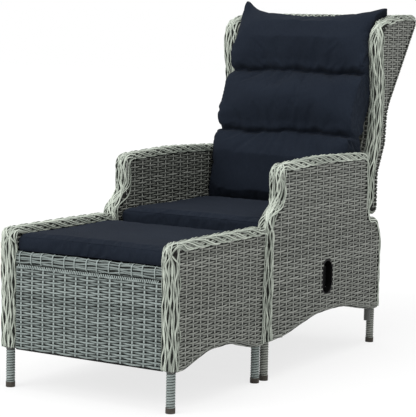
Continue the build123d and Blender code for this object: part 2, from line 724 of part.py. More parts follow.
def make_gas_spring():
    """Lockable gas spring: rod and valve head on the base's fork, cylinder eye on the back's lever."""
    foot = Vector(0, spring_foot_y, spring_foot_z)
    rear = Vector(0, spring_rear_y, spring_rear_z)
    along = (rear - foot).normalized()
    length = (rear - foot).length

    def rod_between(start, end, radius):
        return Plane(origin=foot + along * start, z_dir=along) * Cylinder(
            radius, end - start, align=(Align.CENTER, Align.CENTER, Align.MIN))

    head_end = eye_radius + rod_radius * 5
    gland = head_end + rod_exposed
    piston_end = gland + rod_exposed
    bore_radius = cylinder_radius - tube_wall
    rod = rod_between(0, piston_end, rod_radius) + rod_between(eye_radius * 0.5, head_end, rod_radius * 1.7)
    rod = rod + pin_along_x(foot.Y, foot.Z, -eye_depth / 2, eye_depth / 2, eye_radius * 0.8)
    rod = rod + rod_between(piston_end - rod_radius * 2, piston_end, bore_radius - running)
    rod = rod - pin_along_x(foot.Y, foot.Z, -eye_depth, eye_depth, pin_radius + running)
    keep("gas_rod", rod)
    eye_bore = pin_radius + open_pivot_gap
    eye_outer = eye_bore + rod_radius
    shell_end = length - eye_outer - rod_radius
    shell = rod_between(gland, shell_end, cylinder_radius)
    shell = shell - rod_between(gland + rod_radius, shell_end - rod_radius, bore_radius)
    shell = shell - rod_between(gland - cut, gland + rod_radius + cut, rod_radius + running)
    shell = shell + rod_between(shell_end - cut, length - eye_bore - cut, rod_radius * 1.4)
    shell = shell + pin_along_x(rear.Y, rear.Z, -eye_depth / 2, eye_depth / 2, eye_outer)
    shell = shell - pin_along_x(rear.Y, rear.Z, -eye_depth, eye_depth, eye_bore)
    keep("gas_cylinder", shell)
    pin = pin_along_x(rear.Y, rear.Z, -fork_half - plate_depth * 2, fork_half + plate_depth * 2, pin_radius)
    hinge_space = pin_along_x(pivot_y, pivot_z, -chair_half, chair_half, pivot_tube_radius)
    plate = link_plate(pivot_y, pivot_z, pivot_tube_radius + plate_depth, rear.Y, rear.Z, fork_radius,
                       fork_half, plate_depth) - hinge_space - pin
    keep("lever_plates", plate, mirrored(plate))
    keep("spring_rear_pin", pin)


# The footstool

stool_inner = stool_half - panel_width / 2
stool_rail_z = stool_height - hollow_inset - tube_radius * 1.9
stool_low_z = stool_bottom + rail_room


def make_stool_frame():
    """Welded tube frame of the footstool."""
    x = stool_half
    rail_ends = [(x, -tube_radius * 0.5, stool_rail_z), (x, stool_leg_span + tube_radius * 0.5, stool_rail_z)]
    rail = tube(rail_ends)
    legs = [tube([(x, y, wrap_end), (x, y, stool_rail_z)]) - bar(rail_ends) for y in (0, stool_leg_span)]
    leg_spaces = [bar([(x, y, wrap_end), (x, y, stool_rail_z)]) for y in (0, stool_leg_span)]
    low_run = arched_rail(stool_corners(), 8, 0, stool_leg_span, x)
    low_rail = tube(low_run) - leg_spaces
    low_space = bar(low_run)
    keep("stool_top_rails", rail, mirrored(rail))
    keep("stool_lower_rails", low_rail, mirrored(low_rail))
    for leg in legs:
        keep("stool_legs", leg, mirrored(leg))
    one_side = leg_spaces + [low_space]
    both = one_side + [mirrored(space) for space in one_side]
    high = deck_top - deck_depth - deck_gap - slender - weave_wall - touch
    for y in (0, stool_leg_span):
        for z in (stool_low_z, high):
            keep("stool_cross_tubes", cross_tube(y, z, x, slender) - both)
    return high


def make_stool_skins(high):
    """Hollow woven sides, end panels and deck of the footstool, and the braid on its sides."""
    x = stool_half
    skin = woven_box(stool_corners(), weave_width, x)
    braid = braided_edge(stool_corners(), stool_band, panel_width, x, stool_bottom + stool_arch * 0.5)
    holes = []
    for y in (0, stool_leg_span):
        holes.append(bar([(x, y, 0), (x, y, stool_low_z)], tube_radius + touch))
        for z in (stool_low_z, high):
            holes.append(pin_along_x(y, z, stool_inner - cut, x, slender + touch))
    skin = skin - holes
    braid = braid - holes
    for side, weave, edge in (("left", skin, braid), ("right", mirrored(skin), mirrored(braid))):
        keep("stool_weave_" + side, weave)
        keep("stool_braid_" + side, edge)
    half = stool_inner - apron_side_gap
    top = deck_top - deck_depth - deck_gap
    for y in (0, stool_leg_span):
        keep("stool_end_panels", panel_between(half, y, stool_bottom, top, (stool_low_z, high), slender))
    deck_front = -apron_depth / 2
    deck_length = stool_leg_span + apron_depth
    deck_z = deck_top - deck_depth / 2
    place = Pos(0, deck_front + deck_length / 2, deck_z)
    deck_half = stool_inner - touch * 3
    deck = place * Box(deck_half * 2, deck_length, deck_depth)
    deck = fillet(deck.edges().filter_by(Axis.X), deck_depth * 0.25)
    wall = weave_wall * 2
    keep("stool_deck", deck - place * Box(deck_half * 2 - wall, deck_length - wall, deck_depth - wall))
    tube_r = deck_depth / 2 - weave_wall - touch
    tube_room = weave_wall + tube_r + touch
    loop_x = deck_half - tube_room
    near = deck_front + tube_room
    far = deck_front + deck_length - tube_room
    for y in (near, far):
        keep("stool_deck_frame", cross_tube(y, deck_z, loop_x + tube_r, tube_r))
    for side_x in (-loop_x, 0, loop_x):
        ends = [(side_x, near + tube_r, deck_z), (side_x, far - tube_r, deck_z)]
        keep("stool_deck_frame", tube(ends, tube_r))


# Cushions

def pad_outline(half_w, half_d, pull, pull_top):
    """Outline of a pad whose four sides draw in between soft corners."""
    corner = min(half_w, half_d) * 0.12
    soft = corner * (1 - cos(radians(45)))
    edges = []
    for sx, sy in ((1, 1), (1, -1), (-1, -1), (-1, 1)):
        on_end = (sx * (half_w - corner), sy * half_d)
        on_side = (sx * half_w, sy * (half_d - corner))
        edges.append(ThreePointArc(on_end, (sx * (half_w - soft), sy * (half_d - soft)), on_side))
    for sx in (1, -1):
        ends = [(sx * half_w, sy * (half_d - corner)) for sy in (1, -1)]
        edges.append(ThreePointArc(ends[0], (sx * (half_w - pull), 0), ends[1]))
    for sy, drawn in ((1, pull_top), (-1, pull)):
        ends = [(sx * (half_w - corner), sy * half_d) for sx in (1, -1)]
        edges.append(ThreePointArc(ends[0], (0, sy * (half_d - drawn)), ends[1]))
    return make_face(edges)


# A pad's levels: share of its height, how far its ends are drawn in there and how far its sides are,
# both as shares of its height.
flat_levels = [
    (0.0, 0.045, 0.03),
    (0.14, 0.01, 0.005),
    (0.5, 0.0, 0.0),
    (0.74, 0.015, 0.008),
    (0.88, 0.06, 0.03),
    (0.96, 0.14, 0.07),
    (1.0, 0.28, 0.14),
]
puff_levels = [
    (0.0, 0.30, 0.10),
    (0.14, 0.09, 0.03),
    (0.32, 0.02, 0.005),
    (0.5, 0.0, 0.0),
    (0.70, 0.04, 0.01),
    (0.85, 0.12, 0.025),
    (0.95, 0.27, 0.05),
    (1.0, 0.46, 0.10),
]


def pad(width, length, height, pull, levels, pull_top=None):
    """A crowned pad on the XY plane, its top end towards +Y."""
    faces = []
    for level, ends, sides in levels:
        half_w = width / 2 - height * sides
        half_d = length / 2 - height * ends
        face = pad_outline(half_w, half_d, pull, pull_top or pull)
        faces.append(Pos(0, 0, height * level) * face)
    return loft(faces, ruled=True)


def make_cushions():
    """Seat and footstool pads, and the back pad sewn into three puffs."""
    pull = seat_cushion_height * 0.10
    seat_length = pivot_y - seat_cushion_gap - seat_cushion_front
    seat = pad(cushion_half * 2, seat_length, seat_cushion_height, pull, flat_levels)
    keep("seat_cushion", Pos(0, seat_cushion_front + seat_length / 2, seat_deck_z + touch) * seat)
    stool_width = (stool_inner - touch * 3) * 2
    stool = pad(stool_width, stool_cushion_length, stool_cushion_height, pull, flat_levels)
    keep("stool_cushion", Pos(0, stool_leg_span / 2, deck_top + touch) * stool)
    half_depth = sum(back_cushion_depths) / len(back_cushion_depths) / 2
    line = run_beside(back_cushion_line(), -half_depth)
    puffs = []
    for i, depth in enumerate(back_cushion_depths):
        a = Vector(0, *line[i])
        b = Vector(0, *line[i + 1])
        up = (b - a).normalized()
        out = Vector(0, -up.Z, up.Y)
        rear = (a + b) * 0.5 - out * half_depth
        top_pull = crest_sag if i == len(back_cushion_depths) - 1 else depth * 0.05
        length = (b - a).length + depth * puff_lap
        puff = pad(cushion_half * 2, length, depth, depth * 0.04, puff_levels, top_pull)
        puffs.append(Plane(origin=rear, x_dir=(1, 0, 0), z_dir=out) * puff)
    behind = side_slab(rounded(inset(back_corners(), -touch)), panel_inner * 2)
    cushion = channel_core(line) + puffs[0] + puffs[1] + puffs[2] - behind
    keep("back_cushion", max(cushion.solids(), key=lambda solid: solid.volume))


def channel_core(line):
    """Padding that runs on through the sewn channels, from the middle of the first puff to the last's."""
    seams = [Vector(*point) for point in line]
    stations = [(seams[0] + seams[1]) * 0.5, seams[1], seams[2], (seams[2] + seams[3]) * 0.5]
    run = [(point.X, point.Y) for point in stations]
    front = run_beside(run, channel_padding / 2)
    rear = run_beside(run, -channel_padding / 2)
    outline = make_face(Polyline(*front, *reversed(rear), close=True))
    return side_slab(outline, (cushion_half - channel_padding * 0.4) * 2)


def rear_line(z):
    """Rear face of the back at some height."""
    if z > hip_height:
        return lean_line(z)
    run = back_run()
    for (low_y, low_z), (high_y, high_z) in zip(run[1:], run[2:]):
        if low_z <= z <= high_z:
            return low_y + (high_y - low_y) * (z - low_z) / (high_z - low_z)
    return rear_y


def back_cushion_line():
    """Rear of the back pad in Y and Z: its lower end, its two sewn channels and its top."""
    low = seat_deck_z + panel_width * 0.05
    height = back_height - panel_width * 0.75 - low
    line = []
    for share, room in ((0, 1.43), (0.4147, 1.77), (0.6870, 1.28), (1, 1.97)):
        z = low + height * share
        line.append((rear_line(z) - panel_width * room, z))
    return line


def place_and_write():
    """Move the set over its origin and write one file for each node."""
    chair_shift = stool_leg_span + stool_flare + stool_gap
    stool_names = [name for name in parts if name.startswith("stool")]
    placed = {}
    for name, solids in parts.items():
        shift = 0 if name in stool_names else chair_shift
        placed[name] = Compound(children=[Pos(0, shift, 0) * solid for solid in solids])
    boxes = [piece.bounding_box() for piece in placed.values()]
    middle = (min(box.min.Y for box in boxes) + max(box.max.Y for box in boxes)) / 2
    os.makedirs("parts", exist_ok=True)
    for name, piece in placed.items():
        export_step(Pos(0, -middle, 0) * piece, os.path.join("parts", name + ".step"))
    print("Chair's front face stands at Y", chair_shift - middle)
    print("Footstool's front legs stand at Y", -middle)


def build():
    make_hinge()
    make_side_frame()
    make_cross_frame()
    make_spring_bracket()
    make_leg_ends()
    make_side_skins()
    make_release_handle()
    make_seat()
    places = make_back_frame()
    make_wings(places)
    make_back_panel(places)
    make_gas_spring()
    make_stool_skins(make_stool_frame())
    make_cushions()


build()
place_and_write()
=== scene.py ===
"""Looks of the woven garden recliner and its footstool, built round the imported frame."""

import json
import math

import bmesh
import bpy
import numpy as np
from mathutils import Matrix, Vector
from mathutils.bvhtree import BVHTree


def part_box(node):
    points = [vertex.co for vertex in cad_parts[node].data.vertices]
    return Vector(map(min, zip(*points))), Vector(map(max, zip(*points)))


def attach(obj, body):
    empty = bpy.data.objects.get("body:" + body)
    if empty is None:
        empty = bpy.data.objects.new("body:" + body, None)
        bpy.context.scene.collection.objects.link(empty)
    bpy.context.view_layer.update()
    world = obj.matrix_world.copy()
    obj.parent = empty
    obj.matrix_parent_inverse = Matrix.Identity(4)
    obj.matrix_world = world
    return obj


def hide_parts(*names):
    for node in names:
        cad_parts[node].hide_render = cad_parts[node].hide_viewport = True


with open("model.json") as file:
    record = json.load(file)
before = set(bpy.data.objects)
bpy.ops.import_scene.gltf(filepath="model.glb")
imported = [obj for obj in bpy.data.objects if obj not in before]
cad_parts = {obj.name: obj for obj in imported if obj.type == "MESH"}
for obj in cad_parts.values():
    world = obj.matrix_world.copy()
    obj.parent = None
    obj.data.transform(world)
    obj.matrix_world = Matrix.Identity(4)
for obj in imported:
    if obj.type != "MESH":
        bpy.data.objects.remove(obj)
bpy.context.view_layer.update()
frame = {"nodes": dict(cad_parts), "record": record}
nodes = frame["nodes"]
chance = np.random.default_rng(11)
mm = 0.001

# The camera stands where the photograph was taken from.
photo_width = 416
focal_pixels = 1579.27
sensor = 36.0
camera_place = (2.58129, -4.39017, 1.05996)
camera_yaw = math.radians(31.072)
camera_pitch = math.radians(6.43)
camera_roll = math.radians(1.182)

# Weave: rows of flat strand that pass over and under upright stakes and stand proud of the panel's face.
row_pitch = 7.6 * mm
stake_gap = 47.5 * mm
stool_pitch = 6.8 * mm
stool_gap = 39.0 * mm
row_fill = 0.88
strand_depth = 2.8 * mm
stake_width = 7.0 * mm
row_rest = 0.9 * mm
row_swing = 1.9 * mm
stake_rest = 0.6 * mm
row_steps = np.array([0, 0.09, 0.18, 0.32, 0.5, 0.68, 0.82, 0.91])
shade_backing_depth = 1.0 * mm
braid_cover = 9.0 * mm
hem_rise = 8.0 * mm

# Braid round the edges of the sides and wings
braid_width = 5.5 * mm
braid_depth = 3.6 * mm
braid_rest = 1.0 * mm
braid_swing = 1.3 * mm
lining_rest = -0.4 * mm
meeting_room = 2.7 * mm
pair_spacing = 6.0 * mm
braid_tall = 300.0 * mm
braid_flat = 560.0 * mm
stool_braid_flat = 540.0 * mm
edge_round = 9.0 * mm
edge_reach = 22.0 * mm
skin_gap = 3.0 * mm
braid_half = 23.0 * mm
skin_half = 20.0 * mm

# Pads, legs, floor and light
unbounded = -1e9
pad_half = 260.5 * mm
leg_radius = 13.0 * mm
wrap_pitch = 8.2 * mm
world_light = 0.75
shadow_lift = 0.73
floor_white = 1.035
fade_start = 0.75
fade_end = 1.9
lamp_size = 3.0

across_points = np.array([(-0.5, -0.28), (-0.33, 0.3), (0.0, 0.5), (0.33, 0.3), (0.5, -0.28)])


# Camera and light

def add_camera():
    """A camera at the photograph's place, turned by its yaw, pitch and roll."""
    back = np.array([math.sin(camera_yaw) * math.cos(camera_pitch),
                     -math.cos(camera_yaw) * math.cos(camera_pitch),
                     math.sin(camera_pitch)])
    right = np.array([math.cos(camera_yaw), math.sin(camera_yaw), 0])
    up = np.cross(back, right)
    rolled_right = right * math.cos(camera_roll) + up * math.sin(camera_roll)
    rolled_up = up * math.cos(camera_roll) - right * math.sin(camera_roll)
    data = bpy.data.cameras.new("photo_camera")
    data.sensor_width = sensor
    data.sensor_fit = "HORIZONTAL"
    data.lens = focal_pixels * sensor / photo_width
    data.clip_end = 100
    camera = bpy.data.objects.new("photo_camera", data)
    turn = Matrix(np.column_stack([rolled_right, rolled_up, back]).tolist()).to_4x4()
    camera.matrix_world = Matrix.Translation(camera_place) @ turn
    bpy.context.scene.collection.objects.link(camera)
    bpy.context.scene.camera = camera


def add_lamp(name, place, aim, size, power):
    """A soft square lamp that faces a point."""
    data = bpy.data.lights.new(name, "AREA")
    data.shape = "SQUARE"
    data.size = size
    data.energy = power
    lamp = bpy.data.objects.new(name, data)
    lamp.location = place
    direction = Vector(aim) - lamp.location
    lamp.rotation_euler = direction.to_track_quat("-Z", "Y").to_euler()
    bpy.context.scene.collection.objects.link(lamp)


# Materials

class Paint:
    """Builds one node material in a few calls."""

    def __init__(self, name):
        self.material = bpy.data.materials.new(name)
        self.material.use_nodes = True
        self.tree = self.material.node_tree
        self.shader = self.tree.nodes["Principled BSDF"]

    def node(self, kind, **values):
        made = self.tree.nodes.new("ShaderNode" + kind)
        for key, value in values.items():
            if hasattr(made, key):
                setattr(made, key, value)
            else:
                made.inputs[key.replace("_", " ")].default_value = value
        return made

    def link(self, source, target):
        self.tree.links.new(source, target)
        return target

    def noise(self, vector, scale, detail=3.0, rough=0.55):
        made = self.node("TexNoise", Scale=scale, Detail=detail, Roughness=rough)
        self.link(vector, made.inputs["Vector"])
        return made.outputs["Fac"]

    def stretched(self, vector, scale):
        made = self.node("Mapping")
        made.inputs["Scale"].default_value = scale
        self.link(vector, made.inputs["Vector"])
        return made.outputs["Vector"]

    def ramp(self, value, stops):
        made = self.node("ValToRGB")
        steps = made.color_ramp.elements
        while len(steps) < len(stops):
            steps.new(0.5)
        for step, (place, color) in zip(steps, stops):
            step.position = place
            step.color = (*color, 1)
        self.link(value, made.inputs["Fac"])
        return made.outputs["Color"]

    def math(self, operation, first, second):
        made = self.node("Math", operation=operation)
        for socket, value in zip(made.inputs, (first, second)):
            if hasattr(value, "node"):
                self.link(value, socket)
            else:
                socket.default_value = value
        return made.outputs["Value"]

    def bump(self, height, distance, strength=1.0, under=None):
        made = self.node("Bump", Distance=distance, Strength=strength)
        self.link(height, made.inputs["Height"])
        if under is not None:
            self.link(under, made.inputs["Normal"])
        return made.outputs["Normal"]

    def color(self, output):
        self.link(output, self.shader.inputs["Base Color"])

    def set(self, **values):
        for key, value in values.items():
            self.shader.inputs[key.replace("_", " ")].default_value = value


def srgb(red, green, blue):
    """A colour written as a picture shows it, in the linear values that a shader needs."""
    values = [channel / 255 for channel in (red, green, blue)]
    return tuple(v / 12.92 if v <= 0.04045 else ((v + 0.055) / 1.055) ** 2.4 for v in values)


def strand_material(name, dark, middle, light, brim_shade=0.6):
    """Weathered round cane: long faint streaks, a tone of its own for each strand, fine grooves, and painted
    shade where a strand dives under another and along each strand's edges.
    """
    paint = Paint(name)
    place = paint.node("Attribute", attribute_name="strand", attribute_type="GEOMETRY").outputs["Vector"]
    parts = paint.node("SeparateXYZ")
    paint.link(place, parts.inputs["Vector"])
    streaks = paint.noise(paint.stretched(place, (6, 5, 60)), 1.0, 4.0, 0.6)
    blotch = paint.noise(paint.stretched(place, (24, 1.0, 90)), 1.0, 2.0)
    tone = paint.math("MULTIPLY", parts.outputs["Z"], 0.22)
    mixed = paint.math("ADD", paint.math("MULTIPLY", streaks, 0.5), paint.math("MULTIPLY", blotch, 0.3))
    value = paint.math("ADD", mixed, tone)
    shown = paint.ramp(value, ((0.30, dark), (0.51, middle), (0.74, light)))
    # Painted shade: darker where a strand dives under its neighbour, read from a value laid on each point.
    dive_shade = paint.node("Attribute", attribute_name="dive_shade", attribute_type="GEOMETRY").outputs["Fac"]
    # Painted shade: each strand is darker towards both edges, by up to brim_shade.
    brim = paint.math("SUBTRACT", paint.math("ABSOLUTE", parts.outputs["Y"], 0.0), 0.26)
    brim = paint.math("MULTIPLY", brim, brim_shade / 0.24)
    brim = paint.math("MINIMUM", paint.math("MAXIMUM", brim, 0.0), brim_shade)
    kept = paint.math("SUBTRACT", 1.0, paint.math("MULTIPLY", dive_shade, 0.72))
    kept = paint.math("MULTIPLY", kept, paint.math("SUBTRACT", 1.0, brim))
    shaded = paint.node("VectorMath", operation="SCALE")
    paint.link(shown, shaded.inputs[0])
    paint.link(kept, shaded.inputs["Scale"])
    paint.color(shaded.outputs["Vector"])
    grooves = paint.noise(paint.stretched(place, (14, 26, 60)), 1.0, 2.0)
    paint.link(paint.bump(grooves, 0.0004, 0.5), paint.shader.inputs["Normal"])
    rough = paint.math("ADD", paint.math("MULTIPLY", streaks, 0.25), 0.36)
    paint.link(rough, paint.shader.inputs["Roughness"])
    paint.set(Specular_IOR_Level=0.4)
    return paint.material


def shade_skin_material(name, dark, light):
    """Painted shade: a dark stand-in for the shaded inside of the weave behind the strands, with faint rows
    in its colour and bump.
    """
    paint = Paint(name)
    place = paint.node("TexCoord").outputs["Object"]
    rows = paint.node("TexWave", wave_type="BANDS", bands_direction="Z", Scale=1 / (row_pitch * math.tau),
                      Distortion=0.6, Detail=1.0)
    paint.link(place, rows.inputs["Vector"])
    grain = paint.noise(paint.stretched(place, (90, 90, 400)), 1.0)
    banded = paint.math("MULTIPLY", rows.outputs["Fac"], 0.5)
    value = paint.math("ADD", banded, paint.math("MULTIPLY", grain, 0.5))
    paint.color(paint.ramp(value, ((0.2, dark), (0.75, light))))
    paint.link(paint.bump(value, 0.0015), paint.shader.inputs["Normal"])
    paint.set(Roughness=0.8, Specular_IOR_Level=0.15)
    return paint.material


def metal_material(name, dark, light, rough, metallic, bump_height):
    """Coated or bare metal with a fine orange-peel surface and slight wear in its colour."""
    paint = Paint(name)
    place = paint.node("TexCoord").outputs["Object"]
    patches = paint.noise(place, 35.0, 4.0)
    paint.color(paint.ramp(patches, ((0.3, dark), (0.7, light))))
    peel = paint.noise(place, 900.0, 2.0)
    paint.link(paint.bump(peel, bump_height, 0.5), paint.shader.inputs["Normal"])
    spread = paint.math("ADD", paint.math("MULTIPLY", patches, 0.16), rough - 0.08)
    paint.link(spread, paint.shader.inputs["Roughness"])
    paint.set(Metallic=metallic)
    return paint.material


def cloth_material():
    """Dark navy polyester: a fine plain weave, faint slubs and a soft sheen."""
    paint = Paint("cushion_cloth")
    place = paint.node("TexCoord").outputs["Object"]
    warp, weft = (paint.node("TexWave", wave_type="BANDS", bands_direction=way, Scale=420.0, Distortion=0.8,
                             Detail=1.0) for way in ("X", "DIAGONAL"))
    for wave in (warp, weft):
        paint.link(place, wave.inputs["Vector"])
    threads = paint.math("MULTIPLY", warp.outputs["Fac"], weft.outputs["Fac"])
    slubs = paint.noise(paint.stretched(place, (700, 90, 90)), 1.0, 3.0)
    clouds = paint.noise(place, 6.0, 4.0)
    value = paint.math("ADD", paint.math("MULTIPLY", slubs, 0.4), paint.math("MULTIPLY", clouds, 0.35))
    value = paint.math("ADD", value, paint.math("MULTIPLY", threads, 0.3))
    navy = ((0.25, srgb(25, 30, 39)), (0.55, srgb(35, 41, 51)), (0.85, srgb(45, 52, 63)))
    paint.color(paint.ramp(value, navy))
    fine = paint.bump(threads, 0.0004, 0.5)
    paint.link(paint.bump(slubs, 0.0003, 0.5, fine), paint.shader.inputs["Normal"])
    paint.set(Roughness=0.95, Specular_IOR_Level=0.02, Sheen_Weight=0.02, Sheen_Roughness=0.5)
    return paint.material


def plastic_material(name, dark, light):
    """Moulded plastic with a fine leather-like grain."""
    paint = Paint(name)
    place = paint.node("TexCoord").outputs["Object"]
    cells = paint.node("TexVoronoi", Scale=700.0)
    paint.link(place, cells.inputs["Vector"])
    wear = paint.noise(place, 60.0, 3.0)
    paint.color(paint.ramp(wear, ((0.3, dark), (0.75, light))))
    paint.link(paint.bump(cells.outputs["Distance"], 0.0002, 0.5), paint.shader.inputs["Normal"])
    paint.set(Roughness=0.55, Specular_IOR_Level=0.14)
    return paint.material


weave_paint = strand_material("woven_strand", srgb(93, 96, 90), srgb(126, 129, 122), srgb(161, 164, 157))
cool_paint = strand_material("cool_strand", srgb(92, 101, 99), srgb(124, 134, 131), srgb(158, 169, 166))
braid_paint = strand_material("braid_strand", srgb(116, 123, 113), srgb(178, 186, 174), srgb(226, 233, 220),
                              brim_shade=0.8)
# Painted shade: the dark body under the strands, seen through the gaps between them.
shade_backing_paint = shade_skin_material("weave_backing", srgb(20, 21, 20), srgb(40, 42, 39))
cap_paint = plastic_material("cap_plastic", srgb(58, 55, 50), srgb(80, 76, 70))
paints = {
    # Painted shade: the CAD weave and braid take dark skins for the shaded inside behind the strands.
    "woven_strand": shade_skin_material("woven_shade_skin", srgb(44, 46, 43), srgb(74, 77, 72)),
    "braid_strand": shade_skin_material("braid_shade_skin", srgb(50, 53, 49), srgb(84, 88, 81)),
    "frame_tube": metal_material("frame_tube", srgb(66, 68, 66), srgb(84, 86, 83), 0.45, 0.0, 0.00015),
    "bright_steel": metal_material("bright_steel", srgb(150, 152, 155), srgb(186, 188, 190), 0.32, 1.0,
                                   0.00003),
    "rod_chrome": metal_material("rod_chrome", srgb(205, 207, 210), srgb(228, 229, 232), 0.14, 1.0, 0.00001),
    "spring_black": metal_material("spring_black", srgb(18, 18, 20), srgb(30, 30, 33), 0.35, 0.0, 0.00008),
    "black_plastic": plastic_material("black_plastic", srgb(3, 3, 4), srgb(9, 9, 10)),
    "cushion_cloth": cloth_material(),
}


def paint_frame():
    """Every CAD node takes the finish of its material slot, except the foot caps, which take a plastic of
    their own.
    """
    for part in frame["record"]["subparts"]:
        materials = nodes[part["node"]].data.materials
        materials.clear()
        is_cap = part["node"].endswith("foot_caps")
        materials.append(cap_paint if is_cap else paints[part["material_slot"]])


# Strands

def new_piece(name, mesh, body, material):
    """An object for a mesh, smooth shaded, painted and riding on a body."""
    mesh.polygons.foreach_set("use_smooth", np.ones(len(mesh.polygons), bool))
    mesh.materials.clear()
    mesh.materials.append(material)
    made = bpy.data.objects.new(name, mesh)
    bpy.context.scene.collection.objects.link(made)
    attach(made, body)
    return made


class Strands:
    """Collects strands and turns them into one mesh piece."""

    def __init__(self):
        self.points = []
        self.coords = []
        self.dive_shades = []
        self.quads = []
        self.caps = []
        self.count = 0

    def sweep(self, ring, coord, dive_shade=0.0):
        """A closed tube through rings of points, with its ends capped; a painted shade value for each point
        darkens it where it dives.
        """
        steps, around = ring.shape[:2]
        self.dive_shades.append(np.repeat(np.broadcast_to(dive_shade, steps), around))
        index = self.count + np.arange(steps * around).reshape(steps, around)
        after = np.roll(index, -1, axis=1)
        quads = np.stack([index[:-1], after[:-1], after[1:], index[1:]], axis=-1)
        self.points.append(ring.reshape(-1, 3))
        self.coords.append(coord.reshape(-1, 3))
        self.quads.append(quads.reshape(-1, 4))
        self.caps.append(index[0][::-1])
        self.caps.append(index[-1])
        self.count += steps * around

    def lay(self, centre, normal, width, depth, tone=None, dive_shade=0.0):
        """One strand along a line of points; normal points away from the surface it lies on."""
        if len(centre) < 2:
            return
        tone = chance.random() if tone is None else tone
        along = np.gradient(centre, axis=0)
        along /= np.linalg.norm(along, axis=1, keepdims=True)
        side = np.cross(along, normal)
        side /= np.linalg.norm(side, axis=1, keepdims=True)
        out = np.cross(side, along)
        ring = centre[:, None, :] + side[:, None, :] * (across_points[:, 0] * width)[None, :, None]
        ring = ring + out[:, None, :] * (across_points[:, 1] * depth)[None, :, None]
        run = np.concatenate([[0], np.cumsum(np.linalg.norm(np.diff(centre, axis=0), axis=1))])
        coord = np.zeros(ring.shape)
        coord[:, :, 0] = run[:, None] + tone * 7
        coord[:, :, 1] = across_points[None, :, 0]
        coord[:, :, 2] = tone
        self.sweep(ring, coord, dive_shade)

    def piece(self, name, body, slot, material):
        """The collected strands as one object that rides on a body."""
        points = np.concatenate(self.points)
        quads = np.concatenate(self.quads)
        loops = np.concatenate([quads.ravel(), *self.caps])
        totals = np.concatenate([np.full(len(quads), 4), [len(cap) for cap in self.caps]])
        starts = np.concatenate([[0], np.cumsum(totals)[:-1]])
        mesh = bpy.data.meshes.new(name)
        mesh.vertices.add(len(points))
        mesh.vertices.foreach_set("co", points.ravel())
        mesh.loops.add(len(loops))
        mesh.loops.foreach_set("vertex_index", loops)
        mesh.polygons.add(len(totals))
        mesh.polygons.foreach_set("loop_start", starts)
        mesh.polygons.foreach_set("loop_total", totals)
        mesh.update(calc_edges=True)
        mesh.validate()
        attribute = mesh.attributes.new("strand", "FLOAT_VECTOR", "POINT")
        attribute.data.foreach_set("vector", np.concatenate(self.coords).ravel())
        # Painted shade for each point, where the strand dives under another.
        shade = mesh.attributes.new("dive_shade", "FLOAT", "POINT")
        shade.data.foreach_set("value", np.concatenate(self.dive_shades))
        return new_piece(name, mesh, body, material)


def mesh_points(mesh):
    """A mesh's vertices as an array."""
    points = np.empty(len(mesh.vertices) * 3)
    mesh.vertices.foreach_get("co", points)
    return points.reshape(-1, 3)


def islands(mesh):
    """A number for each vertex that says which loose part of the mesh it is in."""
    label = np.arange(len(mesh.vertices))
    edges = np.empty(len(mesh.edges) * 2, int)
    mesh.edges.foreach_get("vertices", edges)
    first, second = edges.reshape(-1, 2).T
    while True:
        lowest = np.minimum(label[first], label[second])
        fresh = label.copy()
        np.minimum.at(fresh, first, lowest)
        np.minimum.at(fresh, second, lowest)
        fresh = fresh[fresh]
        if (fresh == label).all():
            return label
        label = fresh


def add_shade_backing(node, body, axis):
    """Painted shade: a darker body under the strands, the woven panel drawn in on both faces of its thin
    axis.
    """
    mesh = nodes[node].data.copy()
    welded = bmesh.new()
    welded.from_mesh(mesh)
    bmesh.ops.remove_doubles(welded, verts=welded.verts, dist=0.01 * mm)
    welded.to_mesh(mesh)
    welded.free()
    points = mesh_points(mesh)
    label = islands(mesh)
    shells = sorted(set(label), key=lambda part: -np.ptp(points[label == part], axis=0).sum())
    level = points[:, axis]
    boxes = [(level[label == part].min(), level[label == part].max()) for part in shells]
    for part, (low, high) in zip(shells, boxes):
        whole = [(a, b) for a, b in boxes if a <= low + mm and b >= high - mm and b - a >= high - low]
        outer_low, outer_high = max(whole, key=lambda pair: pair[1] - pair[0])
        middle = (outer_low + outer_high) / 2
        share = 1 - shade_backing_depth / ((outer_high - outer_low) / 2)
        chosen = label == part
        points[chosen, axis] = middle + (level[chosen] - middle) * share
    mesh.vertices.foreach_set("co", points.ravel())
    mesh.update()
    made = new_piece(node + "_backing", mesh, body, shade_backing_paint)
    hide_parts(node)


def add_shade_core(node, body, depth, reach=45 * mm):
    """Painted shade: a darker body under the strands of a part, its outer faces drawn in, and its hollow
    with them.
    """
    mesh = nodes[node].data.copy()
    welded = bmesh.new()
    welded.from_mesh(mesh)
    bmesh.ops.remove_doubles(welded, verts=welded.verts, dist=0.01 * mm)
    welded.normal_update()
    tree = BVHTree.FromBMesh(welded)
    moves = []
    facing = {}
    for face in welded.faces:
        start = face.calc_center_median() + face.normal * 0.1 * mm
        facing[face] = depth if tree.ray_cast(start, face.normal, reach)[0] else -depth
    for vertex in welded.verts:
        planes = {}
        for face in vertex.link_faces:
            if face.calc_area() > 1e-9:
                planes[tuple(round(value, 2) for value in face.normal)] = facing[face]
        directions = np.array(list(planes)).reshape(-1, 3)
        move = np.linalg.lstsq(directions, np.array(list(planes.values())), 0.1)[0]
        moves.append(move * min(1, 2 * depth / max(np.linalg.norm(move), 1e-9)))
    for vertex, move in zip(welded.verts, moves):
        vertex.co += Vector(move)
    welded.to_mesh(mesh)
    welded.free()
    made = new_piece(node + "_core", mesh, body, shade_backing_paint)
    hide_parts(node)


